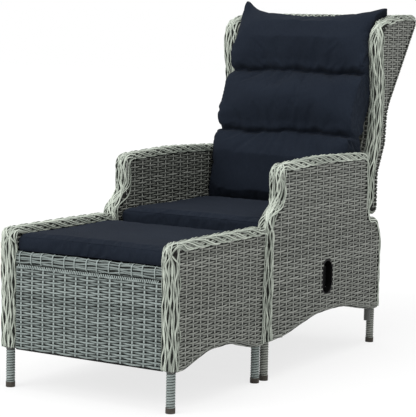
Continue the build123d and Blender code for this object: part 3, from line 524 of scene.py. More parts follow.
def face_loops(node, axis, side):
    """Closed loops round a CAD node's flat end face, in its two other coordinates, largest first."""
    mesh = nodes[node].data
    points = mesh_points(mesh)
    level = points[:, axis].max() if side > 0 else points[:, axis].min()
    keys = [tuple(row) for row in np.round(points * 1e5).astype(int)]
    others = [i for i in range(3) if i != axis]
    edges = {}
    for face in mesh.polygons:
        if any(abs(points[v, axis] - level) > 0.02 * mm for v in face.vertices):
            continue
        ring = [keys[v] for v in face.vertices]
        for first, second in zip(ring, ring[1:] + ring[:1]):
            if (second, first) in edges:
                del edges[(second, first)]
            else:
                edges[(first, second)] = True
    follow = dict(edges.keys())
    loops = []
    while follow:
        start, point = follow.popitem()
        ring = [start]
        while point != start and point in follow:
            ring.append(point)
            point = follow.pop(point)
        loop = np.array(ring)[:, others] * 1e-5
        area = np.sum(loop[:, 0] * np.roll(loop[:, 1], -1) - np.roll(loop[:, 0], -1) * loop[:, 1])
        loops.append(loop if area > 0 else loop[::-1])
    loops.sort(key=lambda loop: -np.ptp(loop[:, 0]) * np.ptp(loop[:, 1]))
    return loops


def spans(loops, level, across):
    """Stretches inside the loops along a line where the coordinate across has a level."""
    cuts = []
    for loop in loops:
        first = loop
        second = np.roll(loop, -1, axis=0)
        crosses = (first[:, across] > level) != (second[:, across] > level)
        start, end = first[crosses], second[crosses]
        share = (level - start[:, across]) / (end[:, across] - start[:, across])
        cuts.extend(start[:, 1 - across] + share * (end[:, 1 - across] - start[:, 1 - across]))
    cuts.sort()
    return list(zip(cuts[::2], cuts[1::2]))


def cleared(loops, level, across, tuck, hole_tuck):
    """Stretches inside the outer loop, held back from its edge and from every hole."""
    free = [(start + tuck, end - tuck) for start, end in spans(loops[:1], level, across)]
    if across == 1 and level - hem_rise > loops[0][:, 1].min():
        lower = spans(loops[:1], level - hem_rise, 1)
        under = [(start + tuck * 0.5, end - tuck * 0.5) for start, end in lower]
        free = [(max(a, c), min(b, d)) for a, b in free for c, d in under if min(b, d) > max(a, c)]
    for start, end in spans(loops[1:], level, across):
        start, end = start - hole_tuck, end + hole_tuck
        before = [(a, min(b, start)) for a, b in free]
        after = [(max(a, end), b) for a, b in free]
        free = [(a, b) for a, b in before + after if b > a]
    return free


def flat_place(axis, level, sign):
    """Maps two coordinates and a height to points and normals on a flat face."""
    others = [i for i in range(3) if i != axis]

    def place(first, second, height):
        points = np.zeros((len(first), 3))
        points[:, others[0]] = first
        points[:, others[1]] = second
        points[:, axis] = level + sign * height
        normals = np.zeros_like(points)
        normals[:, axis] = sign
        return points, normals

    return place


def weave(strands, loops, place, tuck, lowest=unbounded, pitch=row_pitch, gap=stake_gap):
    """Rows across and stakes up, laid over a face inside its loops."""
    outline = loops[0]
    low, high = max(outline[:, 1].min(), lowest), outline[:, 1].max()
    left, right = outline[:, 0].min(), outline[:, 0].max()
    stakes = max(1, int(round((right - left) / gap)))
    gap = (right - left) / stakes
    first_stake = left + gap / 2
    rows = max(1, int((high - low) / pitch))
    pitch = (high - low) / rows
    hole_tuck = 1.0 * mm
    marks = (first_stake + gap * (np.arange(-1, stakes + 1)[:, None] + row_steps)).ravel()
    for row in range(rows):
        level = low + pitch * (row + 0.5)
        for start, end in cleared(loops, level, 1, tuck, hole_tuck):
            if end - start < gap * 0.2:
                continue
            inside = marks[(marks > start + 1 * mm) & (marks < end - 1 * mm)]
            a = np.concatenate([[start], inside, [end]])
            swing = np.cos(math.pi * ((a - first_stake) / gap + row))
            height = row_rest + row_swing * np.sign(swing) * np.abs(swing) ** 0.6
            wander = 0.55 * mm * np.sin(a / gap * 1.3 + chance.random() * 6) - 0.45 * mm * swing
            # Painted shade where the row dives under a stake.
            dive_shade = np.clip((-swing - 0.35) / 0.5, 0, 1)
            strands.lay(*place(a, level + wander, height), row_fill * pitch, strand_depth, dive_shade=dive_shade)
    for stake in range(stakes):
        level = first_stake + gap * stake
        for start, end in cleared(loops, level, 0, tuck * 0.6, hole_tuck):
            start = max(start, lowest)
            if end - start < pitch * 2:
                continue
            b = np.linspace(start, end, max(3, int((end - start) / gap) + 1))
            a = level + 0.7 * mm * np.sin(b / gap + chance.random() * 6)
            strands.lay(*place(a, b, np.full(len(b), stake_rest)), stake_width, strand_depth, 1.7)


# Edges

def resample(path, step, rounds=3):
    """Evenly spaced points along an open path, lightly smoothed."""
    run = np.concatenate([[0], np.cumsum(np.linalg.norm(np.diff(path, axis=0), axis=1))])
    count = max(8, int(run[-1] / step))
    at = np.linspace(0, run[-1], count)
    made = np.column_stack([np.interp(at, run, path[:, i]) for i in range(path.shape[1])])
    for _ in range(rounds):
        made[1:-1] = (made[:-2] + made[1:-1] * 2 + made[2:]) / 4
    return made


def chain(loop, start, end):
    """The part of a loop from the point nearest start to the point nearest end, in the loop's order."""
    first = np.argmin(np.linalg.norm(loop - np.array(start), axis=1))
    last = np.argmin(np.linalg.norm(loop - np.array(end), axis=1))
    rolled = np.roll(loop, -first, axis=0)
    return rolled[: (last - first) % len(loop) + 1]


class Edge:
    """The rounded edge of a panel: a line of points, the way in from it and the way across it."""

    def __init__(self, line, inward, across, half_width, reach, round_by=edge_round):
        self.line = line
        self.inward = inward
        self.across = np.array(across, float)
        self.half_width = half_width
        self.reach = np.broadcast_to(reach, len(line)).astype(float)
        self.round_by = round_by
        step = np.gradient(line, axis=0)
        self.length = np.linalg.norm(step, axis=1)
        self.tangent = step / self.length[:, None]

    def place(self, share, height, rows=None):
        """Points and normals at shares from -1 to 1 of the section, at a height off its surface."""
        rows = np.arange(len(self.line)) if rows is None else rows
        round_by = self.round_by
        flat = self.half_width - round_by
        turn = round_by * math.pi / 2
        along = np.abs(share) * (flat + turn + self.reach[rows] - round_by)
        angle = np.clip((along - flat) / round_by, 0, math.pi / 2)
        down = np.clip(along - flat - turn, 0, None)
        sign = np.sign(share)
        outward = sign * (np.minimum(along, flat) + (round_by + height) * np.sin(angle))
        inward = round_by + down - (round_by + height) * np.cos(angle)
        points = self.line[rows] + self.across * outward[:, None] + self.inward[rows] * inward[:, None]
        normals = self.across * (sign * np.sin(angle))[:, None] - self.inward[rows] * np.cos(angle)[:, None]
        return points, normals

    def width(self):
        """Length of the section from its middle to its end, along the surface."""
        return self.half_width - self.round_by * (2 - math.pi / 2) + self.reach


def panel_edge(path, x, half_width, out, reach, meets=0):
    """The edge of an upright panel, along a path of Y and Z that has the inside on its left.

    Where the footstool and the chair meet, the edge stands back, so that their braids don't cross.
    """
    flat = resample(path, 5 * mm)
    step = np.gradient(flat, axis=0)
    step /= np.linalg.norm(step, axis=1, keepdims=True)
    inward = np.column_stack([np.zeros(len(flat)), -step[:, 1], step[:, 0]])
    out = out - meeting_room * np.clip(inward[:, 1:2] * meets, 0, 1)
    line = np.column_stack([np.full(len(flat), x), flat]) - inward * out
    return Edge(line, inward, (1, 0, 0), half_width, reach)


def braid(strands, edge, pairs, tall, flat):
    """Pairs of strands over an edge: crossing where it runs level, a loose sheaf where it stands."""
    level = np.clip((np.abs(edge.tangent[:, 1]) - 0.4) / 0.5, 0, 1)
    level = np.convolve(np.pad(level, 8, "edge"), np.ones(17) / 17, "valid")
    run = np.cumsum(edge.length)
    phase = np.cumsum(edge.length / (tall + (flat - tall) * level))
    homes = chance.permutation(pairs * 2)
    step = pair_spacing / (edge.width().max() * 4)
    for k in range(pairs * 2):
        turn = phase + (k // 2) / pairs + (k % 2) * step
        wave = np.arcsin(0.985 * np.sin(math.tau * (turn - 0.25))) / (math.pi / 2)
        home = (homes[k] + 0.5) / pairs - 1
        ease = 1 - 0.35 * np.abs(home)
        sway = 0.085 * np.sin(run / (tall * 0.52) * math.tau + k * 2.7)
        sway = (sway + 0.04 * np.sin(run / (tall * 0.23) * math.tau + k * 4.1)) * ease
        share = level * wave * 1.02 + (1 - level) * np.clip(home * 0.97 + sway, -1.03, 1.03)
        crossing = level * np.sin(math.tau * 2 * turn)
        over = crossing + (1 - level) * np.sin(run / (tall * 0.25) * math.tau + k * 1.9)
        points, normals = edge.place(share, braid_rest + braid_swing * over)
        # Painted shade where a strand passes under its neighbour.
        strands.lay(points, normals, braid_width, braid_depth, dive_shade=np.clip(-over, 0, 1) * 0.4)


def parallel(strands, edge, count, width=braid_width, depth=braid_depth, sway=0.02, reach_share=0.95):
    """Strands that run side by side along an edge."""
    run = np.cumsum(edge.length)
    for k, share in enumerate(np.linspace(-reach_share, reach_share, count)):
        drift = sway * np.sin(run * 38 + k * 2.4) + sway * 0.6 * np.sin(run * 83 + k)
        lift = braid_rest + braid_swing * np.sin(run * 60 + k * 2.9)
        strands.lay(*edge.place(share + drift, lift), width, depth)


def bind(strands, edge, step, width, depth, height, tone=None, limit=0.9, turns=13):
    """Short strands wrapped across an edge, one after another."""
    run = np.cumsum(edge.length)
    for at in np.arange(step / 2, run[-1], step) + step * 0.15 * chance.normal():
        row = np.full(turns, int(np.searchsorted(run, at)))
        row = np.minimum(row, len(edge.line) - 1)
        reach = limit + 0.04 * (chance.random() - 0.5)
        points, normals = edge.place(np.linspace(-reach, reach, turns), np.full(turns, height), row)
        strands.lay(points, normals, width, depth, tone)


def lining(strands, edge, height, thickness=0.8 * mm, columns=13):
    """A thin layer under the strands of an edge; with the dark backing paint it is painted shade between
    them.
    """
    shares = np.linspace(-1, 1, columns)
    top = [edge.place(np.full(len(edge.line), s), height)[0] for s in shares]
    under = [edge.place(np.full(len(edge.line), s), height - thickness)[0] for s in shares[::-1]]
    ring = np.stack(top + under, axis=1)
    strands.sweep(ring, np.zeros(ring.shape))


# The chair and footstool, panel by panel

sides = (("left", 1), ("right", -1))


def dress_panel(kind, name, sign, body, pitch, gap, hem=False, lowest=unbounded):
    """Rows on both faces of an upright panel over a darker body of painted shade; returns its outline and
    its box.
    """
    node = kind + "_weave_" + name
    low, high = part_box(node)
    out_x, in_x = (high.x, low.x) if sign > 0 else (low.x, high.x)
    outer = face_loops(node, 0, sign)
    strands = Strands()
    weave(strands, outer, flat_place(0, out_x, sign), braid_cover, unbounded, pitch, gap)
    weave(strands, face_loops(node, 0, -sign), flat_place(0, in_x, -sign), braid_cover, lowest, pitch, gap)
    if hem:
        arch = chain(outer[0], (low.y, low.z), (high.y, low.z))
        edge = panel_edge(arch, (low.x + high.x) / 2, skin_half, 0, 11 * mm)
        parallel(strands, edge, 11, 4.8 * mm, strand_depth, 0.004)
        lining(strands, edge, lining_rest)
    strands.piece(kind + "_rows_" + name, body, "woven_strand", weave_paint)
    add_shade_backing(node, body, 0)
    return outer[0], low, high


def finish_edges(kind, name, body, node, edges, floors):
    """The strands of a panel's edges, and the dark layer of painted shade under them, as two pieces."""
    # Painted shade: a dark layer under the braid's strands.
    under = Strands()
    for edge in floors:
        lining(under, edge, lining_rest)
    under.piece(kind + "_lining_" + name, body, "braid_strand", shade_backing_paint)
    plait = edges.piece(kind + "_plait_" + name, body, "braid_strand", braid_paint)
    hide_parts(node)


def dress_sides():
    """Weave and braid on both sides of the chair."""
    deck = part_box("seat_deck")[0].z
    for name, sign in sides:
        outline, low, high = dress_panel("side", name, sign, "chair_base", row_pitch, stake_gap, True, deck)
        x = (low.x + high.x) / 2
        corner = outline[np.argmax(outline[:, 0] + outline[:, 1])]
        front, rear = (low.y, low.z), (high.y, low.z)
        crest = panel_edge(chain(outline, corner, front), x, braid_half, skin_gap, edge_reach, 1)
        back = panel_edge(chain(outline, rear, corner), x, braid_half, skin_gap, 15 * mm)
        strands = Strands()
        braid(strands, crest, 9, braid_tall, braid_flat)
        parallel(strands, back, 11)
        finish_edges("arm", name, "chair_base", "arm_braid_" + name, strands, (crest, back))


def dress_wings():
    """Weave, braid and bound rear edge on the backrest's wings."""
    for name, sign in sides:
        outline, low, high = dress_panel("wing", name, sign, "backrest", row_pitch, stool_gap)
        x = (low.x + high.x) / 2
        tip = outline[np.argmax(outline[:, 0] + outline[:, 1])]
        foot = outline[np.argmin(outline[:, 1])]
        front = panel_edge(chain(outline, tip, foot), x, braid_half, skin_gap, 18 * mm)
        rear = panel_edge(chain(outline, foot, tip), x, braid_half, skin_gap, 12 * mm)
        strands = Strands()
        braid(strands, front, 8, braid_tall, braid_flat)
        finish_edges("wing", name, "backrest", "wing_braid_" + name, strands, (front, rear))
        bound = Strands()
        bind(bound, rear, 8.4 * mm, 8.0 * mm, braid_depth, 1.8 * mm)
        bound.piece("wing_binding_" + name, "backrest", "braid_strand", weave_paint)


def dress_stool():
    """Weave and braid on the footstool's sides, ends and deck."""
    deck_low, deck_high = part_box("stool_deck")
    for name, sign in sides:
        outline, low, high = dress_panel("stool", name, sign, "footstool", stool_pitch, stool_gap, True,
                                         deck_low.z)
        x = (low.x + high.x) / 2
        front, rear = (low.y, low.z), (high.y, low.z)
        crest = panel_edge(chain(outline, rear, front), x, braid_half, skin_gap, edge_reach, -1)
        strands = Strands()
        braid(strands, crest, 9, braid_tall, stool_braid_flat)
        finish_edges("stool", name, "footstool", "stool_braid_" + name, strands, (crest,))
    low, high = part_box("stool_end_panels")
    ends = Strands()
    for level, sign in ((low.y, -1), (high.y, 1)):
        loops = face_loops("stool_end_panels", 1, sign)
        weave(ends, loops, flat_place(1, level, sign), 1 * mm, unbounded, stool_pitch, stool_gap)
        for x in np.arange(low.x + 12 * mm, high.x - 12 * mm, 6.3 * mm):
            rise = np.linspace(high.z - 11 * mm, high.z - 1 * mm, 4)
            lean = x + (rise - high.z) * 0.35 + 1.2 * mm * chance.random()
            stitch, normals = flat_place(1, level, sign)(lean, rise, np.full(4, 3.0 * mm))
            ends.lay(stitch, normals, 3.8 * mm, 2.4 * mm, 2.2)
    ends.piece("stool_end_rows", "footstool", "woven_strand", cool_paint)
    add_shade_backing("stool_end_panels", "footstool", 1)
    bands = Strands()
    half = (deck_high.z - deck_low.z) / 2
    for y, inward in ((deck_low.y, 1), (deck_high.y, -1)):
        x = np.linspace(deck_low.x + 1 * mm, deck_high.x - 1 * mm, 100)
        line = np.column_stack([x, np.full(len(x), y), np.full(len(x), deck_low.z + half)])
        way_in = np.tile((0, inward, 0), (len(x), 1))
        edge = Edge(line, way_in, (0, 0, 1), half, 13 * mm, 7.5 * mm)
        parallel(bands, edge, 8, 6.2 * mm, 3.0 * mm, 0.06)
        bind(bands, edge, stool_gap, 4.6 * mm, 2.6 * mm, 3.7 * mm, 1.3)
    bands.piece("stool_band", "footstool", "woven_strand", cool_paint)
    add_shade_core("stool_deck", "footstool", shade_backing_depth)


def dress_ends():
    """Weave on the panels under the seat and on the lip of the seat's deck."""
    for node, sign in (("front_apron", -1), ("rear_apron", 1)):
        rows = Strands()
        low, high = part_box(node)
        level = high.y if sign > 0 else low.y
        weave(rows, face_loops(node, 1, sign), flat_place(1, level, sign), 1 * mm)
        rows.piece(node + "_rows", "chair_base", "woven_strand", weave_paint)
        add_shade_backing(node, "chair_base", 1)
    low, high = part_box("seat_deck")
    lip_low = high.z - 30 * mm
    loop = np.array([(low.x, lip_low), (high.x, lip_low), (high.x, high.z), (low.x, high.z)])
    lip = Strands()
    weave(lip, [loop], flat_place(1, low.y, -1), 1 * mm)
    lip.piece("seat_lip_rows", "chair_base", "woven_strand", weave_paint)
    add_shade_core("seat_deck", "chair_base", shade_backing_depth)


def dress_back():
    """Weave on both faces of the reclining back, and the plaited roll along its top."""
    low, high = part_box("back_weave")
    outline = face_loops("back_weave", 0, 1)[0]
    top = outline[np.argmax(outline[:, 1])]
    foot_rear = outline[np.argmax(outline[:, 0] - outline[:, 1] * 3)]
    foot_front = outline[np.argmin(outline[:, 0] + outline[:, 1] * 3)]
    rear = chain(outline, foot_rear, top)
    front = chain(outline, top, foot_front)
    rows = Strands()
    for path, turned in ((rear, 1), (front, -1)):
        line = resample(path if turned > 0 else path[::-1], 4 * mm)
        step = np.gradient(line, axis=0)
        step /= np.linalg.norm(step, axis=1, keepdims=True)
        run = np.concatenate([[0], np.cumsum(np.linalg.norm(np.diff(line, axis=0), axis=1))])

        def place(across, along, height, line=line, step=step, run=run, turned=turned):
            y, z = (np.interp(along, run, line[:, i]) for i in range(2))
            step_y, step_z = (np.interp(along, run, step[:, i]) for i in range(2))
            points = np.column_stack([across, y + turned * step_z * height, z - turned * step_y * height])
            return points, np.column_stack([np.zeros(len(across)), turned * step_z, -turned * step_y])

        start, end = 4 * mm, run[-1] - 6 * mm
        loop = np.array([(low.x, start), (high.x, start), (high.x, end), (low.x, end)])
        weave(rows, [loop], place, 1 * mm, unbounded, row_pitch, stool_gap)
    rows.piece("back_rows", "backrest", "woven_strand", weave_paint)
    add_shade_core("back_weave", "backrest", shade_backing_depth)
    low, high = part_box("back_top_braid")
    radius = (high.z - low.z) / 2
    centre_y, centre_z = (low.y + high.y) / 2, (low.z + high.z) / 2
    roll = Strands()
    x = np.linspace(low.x, high.x, 130)
    count = 7
    for way in (1, -1):
        for k in range(count):
            angle = way * (x - low.x) / (190 * mm) * math.tau + k * math.tau / count
            lift = -1.2 * mm + braid_swing * way * np.sin(angle * 3)
            out = np.column_stack([np.zeros(len(x)), np.sin(angle), np.cos(angle)])
            points = out * (radius + lift)[:, None] + np.array([0, centre_y, centre_z])
            points[:, 0] = x
            roll.lay(points, out, braid_width, braid_depth)
    roll.piece("back_top_plait", "backrest", "braid_strand", braid_paint)
    add_shade_core("back_top_braid", "backrest", 3.5 * mm)


def wrap_legs():
    """Strand wound round each leg between the panels and the foot caps."""
    legs = (("leg_wraps", "chair_base", weave_paint), ("stool_leg_wraps", "footstool", cool_paint))
    for node, body, paint in legs:
        low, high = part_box(node)
        radius = leg_radius
        wraps = Strands()
        turns = (high.z - low.z) / wrap_pitch
        angle = np.linspace(0, turns * math.tau, int(turns * 14))
        z = np.linspace(low.z + 3 * mm, high.z - 3 * mm, len(angle))
        for x in (low.x + radius, high.x - radius):
            for y in (low.y + radius, high.y - radius):
                out = np.column_stack([np.cos(angle), np.sin(angle), np.zeros(len(angle))])
                points = out * (radius - 0.6 * mm) + np.array([x, y, 0])
                points[:, 2] = z
                wraps.lay(points, out, 7.2 * mm, 2.6 * mm, 0.8)
        wraps.piece(node + "_strand", body, "braid_strand", paint)
        add_shade_core(node, body, 2 * mm)


# Cushions

def remeshed(name, node, draw_in, voxel):
    """A closed even mesh of a CAD cushion, drawn in a little, as an object of its own."""
    mesh = nodes[node].data.copy()
    made = bpy.data.objects.new(name, mesh)
    bpy.context.scene.collection.objects.link(made)
    remesh = made.modifiers.new("even", "REMESH")
    remesh.mode = "VOXEL"
    remesh.voxel_size = voxel
    smooth = made.modifiers.new("soft", "SMOOTH")
    smooth.factor = 0.5
    smooth.iterations = 4
    shrink = made.modifiers.new("drawn_in", "DISPLACE")
    shrink.mid_level = 0
    shrink.strength = -draw_in
    settle(made)
    return made


def settle(made):
    """Applies an object's modifiers to its mesh."""
    bpy.context.view_layer.update()
    graph = bpy.context.evaluated_depsgraph_get()
    mesh = bpy.data.meshes.new_from_object(made.evaluated_get(graph))
    made.modifiers.clear()
    made.data = mesh


def inflate(made, held, cap, pressure=4.0, frames=20):
    """Cloth under pressure: the cover swells between what holds it, and no point moves past a cap."""
    scene = bpy.context.scene
    group = made.vertex_groups.new(name="held")
    for index, weight in enumerate(held):
        if weight > 0.01:
            group.add([index], float(weight), "REPLACE")
    cloth = made.modifiers.new("cloth", "CLOTH")
    settings = cloth.settings
    settings.quality = 5
    settings.mass = 0.3
    settings.tension_stiffness = 12
    settings.compression_stiffness = 12
    settings.shear_stiffness = 4
    settings.bending_stiffness = 0.4
    settings.use_pressure = True
    settings.uniform_pressure_force = pressure
    settings.shrink_min = -0.03
    settings.vertex_group_mass = "held"
    settings.effector_weights.gravity = 0
    before = mesh_points(made.data)
    cloth.point_cache.frame_end = frames
    for step in range(1, frames + 1):
        scene.frame_set(step)
    graph = bpy.context.evaluated_depsgraph_get()
    after = mesh_points(made.evaluated_get(graph).to_mesh())
    made.modifiers.clear()
    made.vertex_groups.clear()
    scene.frame_set(1)
    move = after - before
    length = np.linalg.norm(move, axis=1, keepdims=True)
    move *= np.minimum(1, cap / np.maximum(length, 1e-9))
    made.data.vertices.foreach_set("co", (before + move).ravel())
    made.data.update()


def subdivide(made):
    """One round of subdivision, applied."""
    made.modifiers.new("fine", "SUBSURF").levels = 1
    settle(made)


def waves(points, scale, seed):
    """A smooth uneven field over points, about -1 to 1."""
    draw = np.random.default_rng(seed)
    total = np.zeros(len(points))
    for _ in range(7):
        way = draw.normal(size=3)
        way /= np.linalg.norm(way)
        total += np.sin(points @ way * math.tau / (scale * (0.6 + draw.random())) + draw.random() * 6.3)
    return total / 3


def dress_cushion(made, node, body):
    """Paints and files a cushion in place of its CAD solid."""
    mesh = made.data
    mesh.materials.clear()
    mesh.materials.append(paints["cushion_cloth"])
    mesh.polygons.foreach_set("use_smooth", np.ones(len(mesh.polygons), bool))
    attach(made, body)
    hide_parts(node)


def box_cushion(name, node, body, seed):
    """A flat pad with a sewn edge top and bottom and a slightly uneven crown."""
    low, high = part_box(node)
    made = remeshed(name, node, 2.5 * mm, 6 * mm)
    points = mesh_points(made.data)
    height = high.z - low.z
    share = (points[:, 2] - low.z) / height
    rim = np.minimum(np.minimum(points[:, 0] - low.x, high.x - points[:, 0]),
                     np.minimum(points[:, 1] - low.y, high.y - points[:, 1]))
    near_rim = np.exp(-np.clip(rim - 6 * mm, 0, None) / (7 * mm))
    held = near_rim * np.clip(1 - np.abs(share - 0.86) * 9, 0, 1)
    held = np.maximum(held, near_rim * np.clip(1 - np.abs(share - 0.1) * 9, 0, 1))
    held = np.maximum(held, share < 0.03)
    inflate(made, held, 14 * mm)
    subdivide(made)
    points = mesh_points(made.data)
    share = (points[:, 2] - low.z) / height
    rim = np.minimum(np.minimum(points[:, 0] - low.x, high.x - points[:, 0]),
                     np.minimum(points[:, 1] - low.y, high.y - points[:, 1]))
    top = np.clip((share - 0.6) / 0.3, 0, 1)
    points[:, 2] += top * 1.6 * mm * waves(points, 190 * mm, seed)
    points[:, 2] = np.clip(points[:, 2], low.z, high.z + 4 * mm)
    middle = (np.array(low) + np.array(high)) / 2
    half = (np.array(high) - np.array(low)) / 2
    flat = (points[:, :2] - middle[:2]) / half[:2]
    squared = flat * (1 + 0.07 * np.abs(flat[:, ::-1]) ** 14)
    room = 1 + 2.5 * mm / half[:2] * waves(points, 210 * mm, seed + 7)[:, None] * 0.4
    points[:, :2] = middle[:2] + np.clip(squared, -room, room) * half[:2]
    made.data.vertices.foreach_set("co", points.ravel())
    made.data.update()
    dress_cushion(made, node, body)
    add_seam(made, name + "_welt", body, low.z + height * 0.86)
    add_seam(made, name + "_lower_welt", body, low.z + height * 0.12)


def add_seam(made, name, body, level):
    """A thin welt where the cover's top and side are sewn together."""
    cut = bmesh.new()
    cut.from_mesh(made.data)
    found = bmesh.ops.bisect_plane(cut, geom=cut.verts[:] + cut.edges[:] + cut.faces[:],
                                   plane_co=(0, 0, level), plane_no=(0, 0, 1))
    ring = [item for item in found["geom_cut"] if isinstance(item, bmesh.types.BMVert)]
    points = np.array([tuple(v.co) for v in ring])
    cut.free()
    centre = points.mean(axis=0)
    angle = np.arctan2(points[:, 1] - centre[1], points[:, 0] - centre[0])
    order = np.argsort(angle)
    loop = points[order]
    loop = np.vstack([loop, loop[:2]])
    loop = resample(loop, 5 * mm, 2)
    out = loop - centre
    out[:, 2] = 0
    out /= np.linalg.norm(out, axis=1, keepdims=True)
    welt = Strands()
    angles = np.linspace(0, math.tau, 8, endpoint=False)
    radius = 1.5 * mm
    up = np.array([0, 0, 1.0])
    ring = loop[:, None, :] + out[:, None, :] * (np.cos(angles) * radius)[None, :, None]
    ring = ring + up * (np.sin(angles) * radius)[None, :, None]
    welt.sweep(ring, np.zeros(ring.shape))
    welt.piece(name, body, "cushion_cloth", paints["cushion_cloth"])


def back_pad():
    """The long back pad: three puffs between sewn channels, with pointed corners at the top."""
    node = "back_cushion"
    low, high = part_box(node)
    made = remeshed("back_pad", node, 3.0 * mm, 6 * mm)
    points = mesh_points(made.data)
    line, out = pad_line(points, low, high)
    along, depth = pad_coordinates(points, line, out)
    channels = find_channels(points, along, depth)
    near = np.min([np.abs(along - at) for at in channels], axis=0)
    rim = np.minimum(points[:, 0] - low.x, high.x - points[:, 0])
    held = np.clip(1 - near / (9 * mm), 0, 1)
    held = np.maximum(held, np.clip(1 - rim / (8 * mm), 0, 1) * (np.abs(depth) < 12 * mm))
    held = np.maximum(held, depth < -48 * mm)
    inflate(made, held, 22 * mm)
    subdivide(made)
    points = mesh_points(made.data)
    along, depth = pad_coordinates(points, line, out)
    points[:, 0] *= side_room(points, along, depth)
    up = line[1]
    x = points[:, 0]
    front = np.clip(depth / (30 * mm), 0, 1)
    for at, phase, tucks in zip(channels, (0.4, 2.3), ((-113, 119, 230), (0, 103, 222))):
        sag = 4.5 * mm * np.sin(x / (516 * mm) * math.tau * 1.3 + phase)
        sag = sag + 2.2 * mm * np.sin(x * 61 + phase) + 1.2 * mm * np.sin(x * 147 + phase * 3)
        close = np.exp(-((along - at) / (34 * mm)) ** 2)
        points += up * (close * sag * front)[:, None]
        along = pad_coordinates(points, line, out)[0]
        off = along - at - sag
        lip = np.exp(-((off - 13 * mm) / (13 * mm)) ** 2)
        points += out * (lip * 4.0 * mm * front)[:, None]
        points -= up * (lip * 3.5 * mm * front)[:, None]
        deep = sum(np.exp(-((x - tuck * mm) / (30 * mm)) ** 2) for tuck in tucks)
        crease = np.exp(-(off / (5.5 * mm + 3.5 * mm * deep)) ** 2)
        points -= out * (crease * (9.0 + 7.0 * deep) * mm * front)[:, None]
        pucker = np.exp(-np.abs(off) / (24 * mm)) * (1 - crease)
        fold = np.sin(x / (47 * mm) * math.tau + 2.6 * np.sin(x * 19 + phase) + phase)
        fold = fold * (0.55 + 0.45 * np.sin(x * 27 + phase * 5))
        points += out * (pucker * fold * 2.6 * mm * front)[:, None]
    points += out * (front * 2.4 * mm * waves(points, 170 * mm, 5))[:, None]
    height = np.clip((points[:, 2] - (high.z - 80 * mm)) / (80 * mm), 0, 1)
    for side, reach, rise in ((-1, 18 * mm, 54 * mm), (1, 32 * mm, 22 * mm)):
        corner = np.clip((side * points[:, 0] - 165 * mm) / (96 * mm), 0, 1)
        pull = (height * corner) ** 5
        points[:, 0] += side * pull * reach
        points[:, 2] += pull * rise
        points -= out * (pull * 16 * mm)[:, None]
    made.data.vertices.foreach_set("co", points.ravel())
    made.data.update()
    dress_cushion(made, node, "backrest")


def side_room(points, along, depth):
    """How much to widen the pad at each point, so that its sides lie straight beside the wings."""
    cell = 9 * mm
    rows = ((along - along.min()) / cell).astype(int) + 2
    columns = ((depth - depth.min()) / cell).astype(int) + 2
    wide = np.zeros((rows.max() + 3, columns.max() + 3))
    np.maximum.at(wide, (rows, columns), np.abs(points[:, 0]))
    known = (wide > 200 * mm).astype(float)
    room = np.where(known > 0, np.clip(pad_half / np.maximum(wide, 1 * mm), 0.97, 1.16), 0)
    for _ in range(3):
        for axis in (0, 1):
            room = np.roll(room, 1, axis) + room * 2 + np.roll(room, -1, axis)
            known = np.roll(known, 1, axis) + known * 2 + np.roll(known, -1, axis)
    room = np.where(known > 0, room / np.maximum(known, 1e-9), 1)
    place_row = (along - along.min()) / cell + 1.5
    place_column = (depth - depth.min()) / cell + 1.5
    row, column = place_row.astype(int), place_column.astype(int)
    u, v = place_row - row, place_column - column
    low_side = room[row, column] * (1 - v) + room[row, column + 1] * v
    high_side = room[row + 1, column] * (1 - v) + room[row + 1, column + 1] * v
    return low_side * (1 - u) + high_side * u


def pad_line(points, low, high):
    """The pad's straight middle line, a point and its upward direction, and the way out of its front."""
    lower = points[points[:, 2] < low.z + (high.z - low.z) * 0.3].mean(axis=0)
    upper = points[points[:, 2] > low.z + (high.z - low.z) * 0.7].mean(axis=0)
    up = upper - lower
    up[0] = 0
    up /= np.linalg.norm(up)
    middle = (lower + upper) / 2
    middle[0] = 0
    out = np.array([0, -up[2], up[1]])
    return (middle, up), out


def pad_coordinates(points, centre_line, out):
    """Distance along the pad and depth in front of its middle, for each point."""
    middle, up = centre_line
    return (points - middle) @ up, (points - middle) @ out


def find_channels(points, along, depth):
    """Places along the pad where its front draws in between two puffs."""
    steps = np.arange(-190 * mm, 190 * mm, 6 * mm)
    central = np.abs(points[:, 0]) < 60 * mm
    reach = []
    for at in steps:
        chosen = central & (np.abs(along - at) < 6 * mm)
        reach.append(depth[chosen].max())
    reach = np.array(reach)
    lows = [i for i in range(2, len(reach) - 2) if reach[i] == reach[i - 2:i + 3].min()]
    lows.sort(key=lambda i: reach[i])
    return sorted(steps[i] for i in lows[:2])


# Floor and background

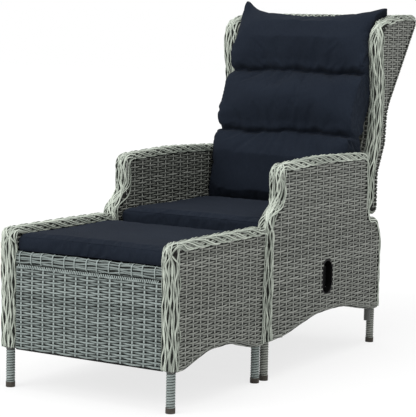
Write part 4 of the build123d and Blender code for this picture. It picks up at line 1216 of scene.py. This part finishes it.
def add_stage():
    """A pale floor that fades into a white background away from the object."""
    size = 30.0
    mesh = bpy.data.meshes.new("floor")
    corners = [(-size, -size, 0), (size, -size, 0), (size, size, 0), (-size, size, 0)]
    mesh.from_pydata(corners, [], [(0, 1, 2, 3)])
    floor = bpy.data.objects.new("floor", mesh)
    bpy.context.scene.collection.objects.link(floor)
    paint = Paint("floor")
    place = paint.node("TexCoord").outputs["Object"]
    grain = paint.noise(place, 3.0)
    paint.color(paint.ramp(grain, ((0.3, (0.91, 0.91, 0.91)), (0.7, (0.93, 0.93, 0.93)))))
    paint.set(Roughness=0.9, Specular_IOR_Level=0.05)
    distance = paint.node("VectorMath", operation="LENGTH")
    paint.link(place, distance.inputs[0])
    fade = paint.node("MapRange", interpolation_type="SMOOTHSTEP")
    fade.inputs["From Min"].default_value = fade_start
    fade.inputs["From Max"].default_value = fade_end
    paint.link(distance.outputs["Value"], fade.inputs["Value"])
    rays = paint.node("LightPath")
    seen = paint.math("MAXIMUM", rays.outputs["Is Camera Ray"], rays.outputs["Is Glossy Ray"])
    seen = paint.math("MAXIMUM", seen, rays.outputs["Is Transmission Ray"])
    lifted = paint.math("MAXIMUM", fade.outputs["Result"], shadow_lift)
    share = paint.math("MULTIPLY", lifted, seen)
    white = paint.node("Emission", Strength=floor_white)
    mixed = paint.node("MixShader")
    paint.link(share, mixed.inputs[0])
    paint.link(paint.shader.outputs["BSDF"], mixed.inputs[1])
    paint.link(white.outputs["Emission"], mixed.inputs[2])
    paint.link(mixed.outputs["Shader"], paint.tree.nodes["Material Output"].inputs["Surface"])
    mesh.materials.append(paint.material)
    world = bpy.data.worlds.new("studio")
    bpy.context.scene.world = world
    world.use_nodes = True
    tree = world.node_tree
    tree.nodes.clear()
    rays = tree.nodes.new("ShaderNodeLightPath")
    seen = tree.nodes.new("ShaderNodeMath")
    seen.operation = "MAXIMUM"
    tree.links.new(rays.outputs["Is Camera Ray"], seen.inputs[0])
    tree.links.new(rays.outputs["Is Glossy Ray"], seen.inputs[1])
    clear = tree.nodes.new("ShaderNodeMath")
    clear.operation = "MAXIMUM"
    tree.links.new(seen.outputs[0], clear.inputs[0])
    tree.links.new(rays.outputs["Is Transmission Ray"], clear.inputs[1])
    light = tree.nodes.new("ShaderNodeBackground")
    light.inputs["Strength"].default_value = world_light
    shown = tree.nodes.new("ShaderNodeBackground")
    shown.inputs["Strength"].default_value = 1.0
    for background in (light, shown):
        background.inputs["Color"].default_value = (1, 1, 1, 1)
    choose = tree.nodes.new("ShaderNodeMixShader")
    tree.links.new(clear.outputs[0], choose.inputs[0])
    tree.links.new(light.outputs[0], choose.inputs[1])
    tree.links.new(shown.outputs[0], choose.inputs[2])
    out = tree.nodes.new("ShaderNodeOutputWorld")
    tree.links.new(choose.outputs[0], out.inputs["Surface"])


add_camera()
add_stage()
add_lamp("key_lamp", (-1.5, -4.0, 3.2), (0, 0, 0.5), lamp_size, 90)
add_lamp("top_lamp", (0.5, -0.5, 4.0), (0, 0, 0.4), lamp_size, 60)
paint_frame()
dress_sides()
dress_wings()
dress_stool()
dress_ends()
dress_back()
wrap_legs()
box_cushion("seat_pad", "seat_cushion", "chair_base", 3)
box_cushion("stool_pad", "stool_cushion", "footstool", 4)
back_pad()

bpy.context.scene.view_settings.view_transform = "Standard"
